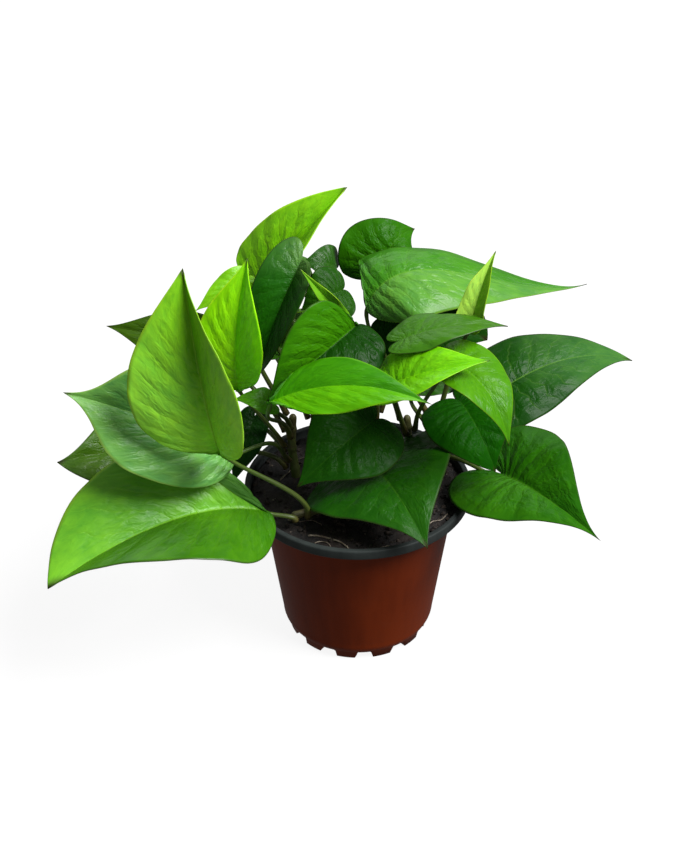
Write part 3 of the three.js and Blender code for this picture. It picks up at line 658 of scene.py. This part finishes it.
def simple_material(name, a, b, scale, rough):
    n = Nodes(name)
    patch = n.noise(n.position(), scale, 5.0, 0.65)
    colour = n.mix(n.ramp(patch, 0.35, 0.65), a, b)
    return n.finish(colour, n.scaled(patch, 0.2, rough), n.bump(patch, 0.6, 0.0004))


PETIOLE = petiole_material()
STEM = stem_material()
SOIL = soil_material()
ROOT = simple_material("dry_root", (0.1, 0.075, 0.05), (0.26, 0.22, 0.17), 220.0, 0.6)
CRUMB = simple_material("dark_crumb", (0.006, 0.004, 0.003), (0.03, 0.019, 0.012), 160.0, 0.7)
PALE_CRUMB = simple_material("pale_crumb", (0.1, 0.08, 0.06), (0.24, 0.21, 0.17), 200.0, 0.7)


# ---- Leaves -----------------------------------------------------------------

def stem_line(name):
    return catmull(STEMS[name], STEM_LINE_POINTS)


def stem_radius(share, length):
    taper = STEM_RADIUS + (STEM_TIP_RADIUS - STEM_RADIUS) * share
    ring = np.cos(2 * math.pi * share * length / NODE_SPACING)
    return taper + NODE_SWELLING * np.maximum(0, ring) ** 4


def outline(row, lobe, widest, taper):
    """The flat outline of one half: x in half widths, y in blade lengths, for an array of rows."""
    row = np.asarray(row, float)
    behind = row / WIDEST_ROW
    before = (row - WIDEST_ROW) / (1 - WIDEST_ROW)
    back = bezier(((0, 0, 0), (0.12, -1.6 * lobe, 0), (1, -1.3 * lobe, 0), (1, widest, 0)), behind)
    shoulder = (taper, 0.77 + 0.35 * (taper - TAPER), 0)
    front = bezier(((1, widest, 0), (1, widest + 0.3, 0), shoulder, (0, 1, 0)), before)
    return np.where(row[..., None] < WIDEST_ROW, back, front)[..., :2]


def blade_frame(leaf):
    """The midrib's Bezier points, the way the upper surface looks and the blade's length."""
    base, tip = np.array(leaf["base"], float), np.array(leaf["tip"], float)
    along = unit(tip - base)
    face = np.array(leaf["face"], float)
    face = unit(face - np.dot(face, along) * along)
    side = np.cross(along, face)
    middle = (base + tip) / 2 + 2 * leaf["arch"] * face + 2 * leaf.get("sway", 0) * side
    pull = leaf.get("spine") or (base + (middle - base) * 2 / 3, tip + (middle - tip) * 2 / 3)
    midrib = (base, np.array(pull[0], float), np.array(pull[1], float), tip)
    return midrib, face, np.linalg.norm(tip - base)


def relief_size(leaf):
    return min(1.0, leaf["width"] / FULL_WIDTH)


def blade_grid(leaf, rng):
    """Upper surface of both halves: points (rows, columns, 3), with uv and thickness."""
    midrib, face, length = blade_frame(leaf)
    row = np.linspace(0, 1, ROWS + 1)[:, None] * np.ones((1, 2 * COLUMNS + 1))
    step = np.arange(-COLUMNS, COLUMNS + 1) / COLUMNS
    hand = np.where(step < 0, -1.0, 1.0)
    # Columns crowd towards the midrib and the margin, where the form turns fastest.
    across = np.abs(step)
    across = 0.55 * across + 0.45 * np.sin(across * math.pi / 2) ** 2
    across = across[None, :] * np.ones_like(row)
    defaults = (("lobe", LOBE), ("widest", WIDEST), ("taper", TAPER))
    shape = [np.broadcast_to(leaf.get(key, value), 2) for key, value in defaults]
    left, right = (outline(row, *(v[k] for v in shape)) for k in (0, 1))
    edge = np.where(hand[None, :, None] < 0, left, right)
    root = 0.12 * row + 0.88 * row**3
    x = edge[..., 0] * across
    y = root + (edge[..., 1] - root) * across**VEIN_SWEEP
    inside = np.clip(y, 0, 1)
    tangent = bezier_tangent(midrib, inside)
    point = bezier(midrib, inside) + tangent * ((y - inside) * length)[..., None]
    up = face - (tangent @ face)[..., None] * tangent
    up /= np.linalg.norm(up, axis=-1, keepdims=True)
    roll = np.radians(leaf.get("twist", 0) * inside)[..., None]
    side = np.cross(tangent, up)
    up, side = up * np.cos(roll) + side * np.sin(roll), side * np.cos(roll) - up * np.sin(roll)
    fold = np.array(leaf.get("fold", FOLD), float)
    curl = np.array(leaf.get("curl", CURL), float)
    half = (hand > 0).astype(int)
    rise = np.radians(fold[half][None, :] + curl[half][None, :] * x)
    reach = x * leaf["width"] / 2
    wave = WAVE * x**3 * np.sin(row * WAVE_TURNS + hand * 1.3 + leaf["base"][0])
    # Relief: swollen fields between sunken side veins, a channel along the midrib, small waves.
    turn = rng.uniform(0, WHOLE_TURN, 4)
    shift = np.where(hand > 0, VEIN_SHIFT, 0.0) + VEIN_SHIFT
    phase = row * SIDE_VEINS + shift + 0.12 * np.sin(3 * x + turn[0])
    fade = np.clip(x * 6, 0, 1) * np.clip((1 - across) * 4, 0, 1)
    fade = fade * np.clip((1 - row) * 6, 0, 1) * np.clip(row * 8, 0, 1)
    size = relief_size(leaf)
    quilt = QUILT_HEIGHT * size * np.abs(np.sin(phase * math.pi)) ** 0.7 * fade
    channel = -CHANNEL_DEPTH * size * np.exp(-(reach / CHANNEL_WIDTH) ** 2) * (1 - 0.7 * row)
    ripple = RIPPLE_HEIGHT * size * x**2 * np.sin(row * 31 + turn[1] + hand)
    ripple = ripple + MARGIN_RIPPLE_HEIGHT * size * x**4 * np.sin(row * 57 + turn[2])
    dents = np.sin(reach * 0.21 + turn[3]) * np.sin(y * length * 0.16 + turn[0])
    dents = DENT_HEIGHT * size * dents * np.clip(x * 3, 0, 1)
    lift = reach * np.sin(rise) + wave + quilt + channel + ripple + dents
    point = point + side * (hand[None, :] * reach * np.cos(rise))[..., None] + up * lift[..., None]
    keel = KEEL_THICKNESS * size * np.exp(-(reach / KEEL_WIDTH) ** 2) * (1 - row) ** 0.7
    veins = VEIN_THICKNESS * size * (1 - np.abs(np.sin(phase * math.pi))) ** 2 * fade
    thickness = BLADE_THICKNESS - MARGIN_THINNING * across**6 + keel + veins
    uv = np.stack([0.5 + 0.5 * hand[None, :] * across, row], axis=-1)
    return point, uv, thickness


def blade_mesh(leaf, rng):
    """Both faces and the margin of a blade: vertices, faces, material slots and uv."""
    point, uv, thickness = blade_grid(leaf, rng)
    normal = np.cross(np.gradient(point, axis=1), np.gradient(point, axis=0))
    size = np.linalg.norm(normal, axis=-1, keepdims=True)
    normal = normal / np.maximum(size, 1e-9)
    _, face, _ = blade_frame(leaf)
    # The first and last rows are single points, so they take a normal of the midrib close by.
    normal[0, :] = normal[2, COLUMNS]
    normal[-1, :] = normal[-3, COLUMNS]
    if np.mean(normal @ face) < 0:
        normal = -normal
    under = point - normal * thickness[..., None]
    n, m = point.shape[:2]
    count = 2 + (n - 2) * m

    # Index grids and lists of values, with the first and last rows joined into one vertex each.
    def indices(start):
        grid = np.zeros((n, m), int)
        grid[0, :] = start
        grid[1:-1, :] = start + 1 + np.arange((n - 2) * m).reshape(n - 2, m)
        grid[-1, :] = start + count - 1
        return grid

    def flat(a):
        rows = a[1:-1].reshape(-1, a.shape[-1])
        return np.concatenate([a[0:1, COLUMNS], rows, a[-1:, COLUMNS]])

    top, low = indices(0), indices(count)
    verts = np.concatenate([flat(point), flat(under)])
    uvs = np.concatenate([flat(uv), flat(uv)])
    faces, slots = [], []

    def quad(a, b, c, d, slot):
        loop = list(dict.fromkeys((a, b, c, d)))
        if len(loop) > 2:
            faces.append(loop)
            slots.append(slot)

    for i in range(n - 1):
        for j in range(m - 1):
            quad(top[i, j], top[i, j + 1], top[i + 1, j + 1], top[i + 1, j], 0)
            quad(low[i, j], low[i + 1, j], low[i + 1, j + 1], low[i, j + 1], 1)
        quad(top[i, 0], top[i + 1, 0], low[i + 1, 0], low[i, 0], 0)
        quad(top[i, -1], low[i, -1], low[i + 1, -1], top[i + 1, -1], 0)
    return verts, faces, slots, uvs


def petiole_line(leaf):
    """The petiole's axis, from its stem to the underside of the blade, and the way it leaves."""
    line = stem_line(leaf["stem"])
    share, length = arc(line)
    root = np.array([np.interp(leaf["at"], share, line[:, k]) for k in range(3)])
    joint = np.array(leaf["base"], float)
    out = np.array(leaf.get("leave", joint - root), float)
    out[2] = 0
    out = unit(out)
    root = root + out * (stem_radius(leaf["at"], length) + CLEARANCE + PETIOLE_FOOT_RADIUS * 0.9)
    midrib, face, _ = blade_frame(leaf)
    tangent = bezier_tangent(midrib, 0.0)
    end = joint + tangent * PETIOLE_OVERLAP - face * 0.9
    if "via" in leaf:
        line = catmull((root, leaf["via"], end), LINE_POINTS)
    else:
        reach = np.linalg.norm(root - joint)
        leave = out * PETIOLE_SPREAD
        leave[2] = 1
        arrive = 0.6 * tangent + 0.5 * face + np.array((0, 0, 0.5))
        pull = (root + unit(leave) * reach * 0.4, end - unit(arrive) * reach * 0.35)
        line = bezier((root, *pull, end), np.linspace(0, 1, LINE_POINTS))
    return resample(line, PETIOLE_STEPS + 1), out


def petiole_mesh(leaf):
    line, out = petiole_line(leaf)
    share = np.linspace(0, 1, len(line))
    radii = PETIOLE_FOOT_RADIUS + (PETIOLE_TOP_RADIUS - PETIOLE_FOOT_RADIUS) * np.sqrt(share)
    knee = 0.35 * np.exp(-(((share - 0.93) / 0.045) ** 2))
    sheath = 0.25 * np.exp(-((share / 0.1) ** 2))
    radii = radii * 0.94 + knee + sheath
    radii[-3:] *= (0.85, 0.6, 0.3)
    # The channel runs along the side that faces the stem.
    return tube(line, radii, PETIOLE_SIDES, -out, groove=0.22)


def make_leaf(name, leaf, order):
    rng = np.random.default_rng(order)
    tone = leaf.get("tone", "mature")
    # The blade's colours hold painted light and shade as well as its own green.
    colour = LEAF_COLOURS_AND_PAINTED_LIGHT.get(name, TONES[tone])
    halves = colour if isinstance(colour[0], tuple) else (colour, colour)
    root = PAINTED_ROOT_LIGHT_AND_SHADE.get(name)
    gloss = LEAF_GLOSS.get(name, 1.0)
    size = relief_size(leaf)
    seed = order * 1.7
    verts, faces, slots, uv = blade_mesh(leaf, rng)
    bar_verts, bar_faces, bar_uv = petiole_mesh(leaf)
    faces += [[i + len(verts) for i in f] for f in bar_faces]
    slots += [2] * len(bar_faces)
    verts = np.vstack([verts, bar_verts])
    uv = np.vstack([uv, bar_uv])
    materials = [
        blade_material(name + "_upper", halves, root, seed, size, gloss),
        blade_material(name + "_under", halves, root, seed, size, gloss, under=True),
        PETIOLE,
    ]
    obj = new_object(name + "_fine", verts, faces, materials, slots, uv)
    belongs(obj, name)


# ---- Stems ------------------------------------------------------------------

def make_stem(name, order):
    line = resample(stem_line(name), STEM_STEPS + 1)
    _, length = arc(line)
    share = np.linspace(0, 1, len(line))
    ring = np.maximum(0, np.cos(2 * math.pi * share * length / NODE_SPACING)) ** 12
    radii = stem_radius(share, length) * (1 + 0.02 * np.sin(share * 40 + order)) + 0.12 * ring
    radii[-2:] *= (0.9, 0.6)
    verts, faces, uv = tube(line, radii, STEM_SIDES, (1, 0.3, 0))
    obj = new_object(name + "_fine", verts, faces, [STEM], uv=uv)
    belongs(obj, name)


# ---- Pot --------------------------------------------------------------------

def turned(name, profile, segments, materials, slot_of, shift=None):
    """A turned shell from a profile of (radius, height). slot_of gives a band's material."""
    verts, faces, slots = [], [], []
    rings = []
    for radius, height in profile:
        start = len(verts)
        if radius < 1e-6:
            rings.append([start])
            verts.append((0, 0, height))
            continue
        for k in range(segments):
            a = 2 * math.pi * k / segments
            z = shift(radius, height, a) if shift else height
            verts.append((radius * math.cos(a), radius * math.sin(a), z))
        rings.append(list(range(start, start + segments)))
    for i, (a, b) in enumerate(zip(rings, rings[1:])):
        for k in range(segments):
            k2 = (k + 1) % segments
            if len(a) == 1:
                loop = (a[0], b[k2], b[k])
            elif len(b) == 1:
                loop = (a[k], a[k2], b[0])
            else:
                loop = (a[k], a[k2], b[k2], b[k])
            faces.append(loop)
            slots.append(slot_of(i))
    return new_object(name, verts, faces, materials, slots)


def bow(centre, radius, start, end, count):
    """Points of a circular arc, in degrees, for a profile."""
    angles = np.radians(np.linspace(start, end, count))
    return [(centre[0] + radius * math.cos(a), centre[1] + radius * math.sin(a)) for a in angles]


def make_pot():
    floor = FOOT_HEIGHT
    corner = floor + BASE_CORNER
    lip = RIM_TOP - RIM_DEPTH
    wall_height = SHOULDER_HEIGHT - corner
    slope = (SHOULDER_RADIUS - BASE_RADIUS) / wall_height
    corner_centre = (BASE_RADIUS - BASE_CORNER, corner)
    base = [(r, floor) for r in (0, 12, 24, 30, 32.2, 32.8, 33.2, 33.8, 34.6, 35.4)]
    base += bow(corner_centre, BASE_CORNER, -85, 0, 14)
    wall = [(BASE_RADIUS + slope * h, corner + h) for h in np.linspace(2, wall_height - 1.5, 24)]
    neck = [
        (SHOULDER_RADIUS + 0.3, SHOULDER_HEIGHT - 0.2),
        (SHOULDER_RADIUS + 2.2, SHOULDER_HEIGHT + 0.5),
        (RIM_INNER_RADIUS + 0.3, SHOULDER_HEIGHT + 1.2),
        (RIM_INNER_RADIUS + WALL, SHOULDER_HEIGHT + 2.0),
        (RIM_INNER_RADIUS + WALL + 0.1, lip - 0.7),
    ]
    rim = [
        (RIM_RADIUS - 0.9, lip - 0.45),
        (RIM_RADIUS - 0.2, lip - 0.2),
        (RIM_RADIUS, lip + 0.4),
        (RIM_RADIUS, RIM_TOP - 1.3),
    ]
    rim += bow((RIM_RADIUS - 1.1, RIM_TOP - 1.1), 1.1, 10, 90, 6)
    rim += bow((RIM_INNER_RADIUS + 0.9, RIM_TOP - 0.9), 0.9, 90, 180, 6)
    inside = [
        (RIM_INNER_RADIUS, SHOULDER_HEIGHT + 2.9),
        (SHOULDER_RADIUS - WALL, SHOULDER_HEIGHT + 1.2),
        (BASE_RADIUS - WALL, corner),
    ]
    inside += bow(corner_centre, BASE_CORNER - WALL, -10, -85, 8)
    inside += [(20, floor + WALL), (0, floor + WALL)]
    brown = len(base) + len(wall) + len(neck)
    skin = set(base)

    def feet(radius, height, angle):
        """Pulls the outer skin down to the ground where a foot stands, with soft sides."""
        if (radius, height) not in skin or not FOOT_INNER_RADIUS <= radius <= FOOT_OUTER_RADIUS + 0.2:
            return height
        pitch = 2 * math.pi / FOOT_COUNT
        away = (angle + math.pi / 2 - FOOT_TURN + pitch / 2) % pitch - pitch / 2
        share = min(1.0, max(0.0, 0.5 + (FOOT_SPREAD / 2 - abs(away)) / 0.03))
        return height * (1 - share * share * (3 - 2 * share))

    plastics = [
        pot_material("pot_brown_plastic", (0.16, 0.021, 0.002), (0.122, 0.015, 0.001), 0.34),
        pot_material("pot_grey_layer", (0.036, 0.043, 0.041), (0.022, 0.027, 0.026), 0.42),
    ]
    profile = base + wall + neck + rim + inside
    obj = turned("pot_fine", profile, POT_SEGMENTS, plastics, lambda i: int(i >= brown - 1), feet)
    belongs(obj, "pot")


# ---- Soil -------------------------------------------------------------------

def soil_height(x, y):
    radius = np.hypot(x, y) / RIM_INNER_RADIUS
    lump = np.sin(x * 0.31 + 1) * np.cos(y * 0.27 - 2) + 0.6 * np.sin(x * 0.13 - y * 0.19)
    return SOIL_EDGE_HEIGHT + SOIL_CROWN * (1 - radius**2) + SOIL_LUMP * lump * (1 - radius**4)


def fine_soil_height(x, y):
    small = 0.55 * np.sin(x * 0.9 + 1.3 * np.sin(y * 0.7)) * np.sin(y * 0.8 + 2)
    small = small + 0.35 * np.sin(x * 1.9 + y * 0.6 + 1) * np.sin(y * 1.7 - x * 0.9)
    small = small + 0.2 * np.sin(x * 3.7 + 2 * np.sin(y * 2.1)) * np.cos(y * 3.3)
    return soil_height(x, y) + small - 0.2


def make_soil():
    floor = FOOT_HEIGHT + WALL + CLEARANCE
    edge = RIM_INNER_RADIUS - CLEARANCE - 0.3
    side_gap = WALL + CLEARANCE + 0.2
    sides = [
        (0, floor),
        (BASE_RADIUS - BASE_CORNER, floor),
        (BASE_RADIUS - side_gap, FOOT_HEIGHT + BASE_CORNER),
        (SHOULDER_RADIUS - side_gap, SHOULDER_HEIGHT + 1.2),
        (edge, SHOULDER_HEIGHT + 3.4),
    ]
    top = [(r, SOIL_EDGE_HEIGHT) for r in np.linspace(edge, 1.2, SOIL_RINGS)]

    def surface(radius, height, angle):
        if height < SOIL_EDGE_HEIGHT:
            return height
        return fine_soil_height(radius * math.cos(angle), radius * math.sin(angle))

    profile = sides + top + [(0, fine_soil_height(0, 0))]
    obj = turned("soil_fine", profile, SOIL_SEGMENTS, [SOIL], lambda i: 0, surface)
    belongs(obj, "soil")


def pebble(rng, centre, size, flat):
    """A small angular crumb: a jittered twelve-cornered solid."""
    g = (1 + 5**0.5) / 2
    corners = []
    for a in (-1, 1):
        for b in (-g, g):
            corners += [(0, a, b), (a, b, 0), (b, 0, a)]
    corners = np.array(corners) / math.hypot(1, g)
    jitter = rng.uniform(0.75, 1.2, (len(corners), 1))
    corners = corners * jitter * np.array((1, rng.uniform(0.6, 1), flat)) * size
    turn = rng.uniform(0, WHOLE_TURN)
    c, s = math.cos(turn), math.sin(turn)
    return corners @ np.array(((c, s, 0), (-s, c, 0), (0, 0, 1))) + centre


def hull_faces(points):
    """Triangles of the convex hull of a few points, facing out."""
    faces = []
    centre = points.mean(axis=0)
    for i, j, k in itertools.combinations(range(len(points)), 3):
        normal = np.cross(points[j] - points[i], points[k] - points[i])
        side = (points - points[i]) @ normal
        side[[i, j, k]] = 0
        if np.all(side <= 1e-9) or np.all(side >= -1e-9):
            outward = np.dot(normal, points[i] - centre) > 0
            faces.append((i, j, k) if outward else (i, k, j))
    return faces


def make_crumbs(name, material, count, sizes, seed, lift):
    """Crumbs strewn over the soil, sunk in so that lift of their size stays above it."""
    rng = np.random.default_rng(seed)
    verts, faces = [], []
    for _ in range(count):
        r, a = CRUMB_REACH * math.sqrt(rng.uniform(0.0, 1.0)), rng.uniform(0, 2 * math.pi)
        x, y = r * math.cos(a), r * math.sin(a)
        size = rng.uniform(*sizes)
        centre = np.array((x, y, fine_soil_height(x, y) + size * lift))
        points = pebble(rng, centre, size, rng.uniform(0.5, 0.9))
        faces += [[q + len(verts) for q in f] for f in hull_faces(points)]
        verts += list(points)
    obj = new_object(name, verts, faces, [material], smooth=False)
    belongs(obj)


# Dead roots and fibres that lie on the soil: the thickness of each and the points it passes.
DEAD_ROOTS = (
    (0.62, ((-28, -44), (-20, -46), (-12, -50), (-5, -56))),
    (0.35, ((-24, -52), (-21, -50), (-18, -51), (-15, -54))),
    (0.4, ((-40, -30), (-34, -33), (-26, -32), (-20, -35))),
    (0.35, ((10, -57), (16, -54), (22, -55), (27, -51))),
    (0.4, ((38, -38), (42, -32), (47, -30), (51, -24))),
    (0.4, ((-45, 8), (-40, 16), (-37, 26), (-30, 31))),
    (0.35, ((20, 44), (26, 40), (34, 42), (40, 36))),
)


def make_roots():
    rng = np.random.default_rng(11)
    verts, faces, uv = [], [], []
    for radius, path in DEAD_ROOTS:
        line = catmull([(x, y, 0) for x, y in path], ROOT_POINTS)
        z = fine_soil_height(line[:, 0], line[:, 1]) + radius * 0.9
        # The root bridges the small hollows, and its ends dip into the soil.
        z = np.convolve(np.pad(z, 3, mode="edge"), np.ones(7) / 7, mode="valid") + 0.25
        z[[0, -1]] -= 1.2
        line[:, 2] = z
        radii = radius * (1 - 0.4 * np.linspace(0, 1, len(line)))
        radii = radii * rng.uniform(0.85, 1.1, len(line))
        v, f, t = tube(line, radii, ROOT_SIDES, (0, 0, 1))
        faces += [[q + len(verts) for q in g] for g in f]
        verts += list(v)
        uv += t
    obj = new_object("dead_roots", verts, faces, [ROOT], uv=uv)
    belongs(obj)


make_pot()
make_soil()
make_crumbs("soil_crumbs", CRUMB, 420, (0.7, 2.1), 5, 0.25)
make_crumbs("soil_grit", PALE_CRUMB, 26, (0.35, 0.8), 6, 0.3)
make_roots()
for order, name in enumerate(STEMS):
    make_stem(name, order)
for order, (name, leaf) in enumerate(LEAVES.items(), 1):
    make_leaf(name, leaf, order)


# ---- Floor, light and camera -------------------------------------------------

# The floor's (radius, height), in millimetres: flat, then curving up into a wall all round.
FLOOR_PROFILE = (
    (0, 0), (3000, 0), (4500, 60), (6000, 400), (7200, 1300), (7800, 2600), (8000, 5000),
)

# The camera, in metres and degrees, and where the photograph shows its target, in pixels.
IMAGE_WIDTH = 680
IMAGE_HEIGHT = 850
CAMERA_TARGET = (0, 0, 0.1)
CAMERA_DISTANCE = 1.2
CAMERA_ELEVATION = 36
FOCAL_PIXELS = 2092.8
TARGET_PIXEL_X = 357.9
TARGET_PIXEL_Y = 478.6
SENSOR = 36  # millimetres along the image's longer side


def make_floor():
    """A pale floor. It lights nothing, so the pot keeps its own shade."""
    n = Nodes("pale_floor")
    tint = n.noise(n.position(), 3.0, 2.0)
    n.finish(n.mix(tint, (0.11, 0.11, 0.11), (0.13, 0.13, 0.13)), 0.9)
    n.shader.inputs["Specular IOR Level"].default_value = 0.0
    n.shader.inputs["Emission Color"].default_value = (1, 1, 1, 1)
    n.shader.inputs["Emission Strength"].default_value = 0.9
    floor = turned("floor", FLOOR_PROFILE, FLOOR_SEGMENTS, [n.material], lambda i: 0)
    floor.location.z = -0.0002
    floor.visible_diffuse = False
    floor.visible_glossy = False
    floor.visible_shadow = False


def aim(obj, direction):
    obj.rotation_euler = Vector(direction).to_track_quat("-Z", "Y").to_euler()


def add_light(name, position, target, size, power):
    data = bpy.data.lights.new(name, "AREA")
    data.shape = "RECTANGLE"
    data.size, data.size_y = size
    data.energy = power
    obj = add_object(name, data)
    obj.location = position
    aim(obj, Vector(target) - Vector(position))


def add_sun(name, source, angle, strength):
    """A broad, even key light that comes from the direction of source."""
    data = bpy.data.lights.new(name, "SUN")
    data.angle = math.radians(angle)
    data.energy = strength
    aim(add_object(name, data), -Vector(source))


def make_world(strength):
    world = bpy.data.worlds.new("studio")
    world.use_nodes = True
    background = world.node_tree.nodes["Background"]
    background.inputs["Color"].default_value = (1, 1, 1, 1)
    background.inputs["Strength"].default_value = strength
    bpy.context.scene.world = world


def make_camera():
    data = bpy.data.cameras.new("camera")
    data.sensor_width = SENSOR
    data.lens = FOCAL_PIXELS * SENSOR / IMAGE_HEIGHT
    data.shift_x = (IMAGE_WIDTH / 2 - TARGET_PIXEL_X) / IMAGE_HEIGHT
    data.shift_y = (TARGET_PIXEL_Y - IMAGE_HEIGHT / 2) / IMAGE_HEIGHT
    data.clip_end = 50
    obj = add_object("camera", data)
    elevation = math.radians(CAMERA_ELEVATION)
    away = Vector((0, -math.cos(elevation), math.sin(elevation)))
    obj.location = Vector(CAMERA_TARGET) + CAMERA_DISTANCE * away
    aim(obj, -away)
    bpy.context.scene.camera = obj


make_floor()
add_sun("key", source=(0.54, -0.25, 0.81), angle=34, strength=4.8)
add_light("window", position=(-0.2, 1.6, 1.35), target=(0, 0, 0.15), size=(2.0, 1.1), power=8)
make_world(0.22)
bpy.context.scene.view_settings.view_transform = "Standard"
make_camera()
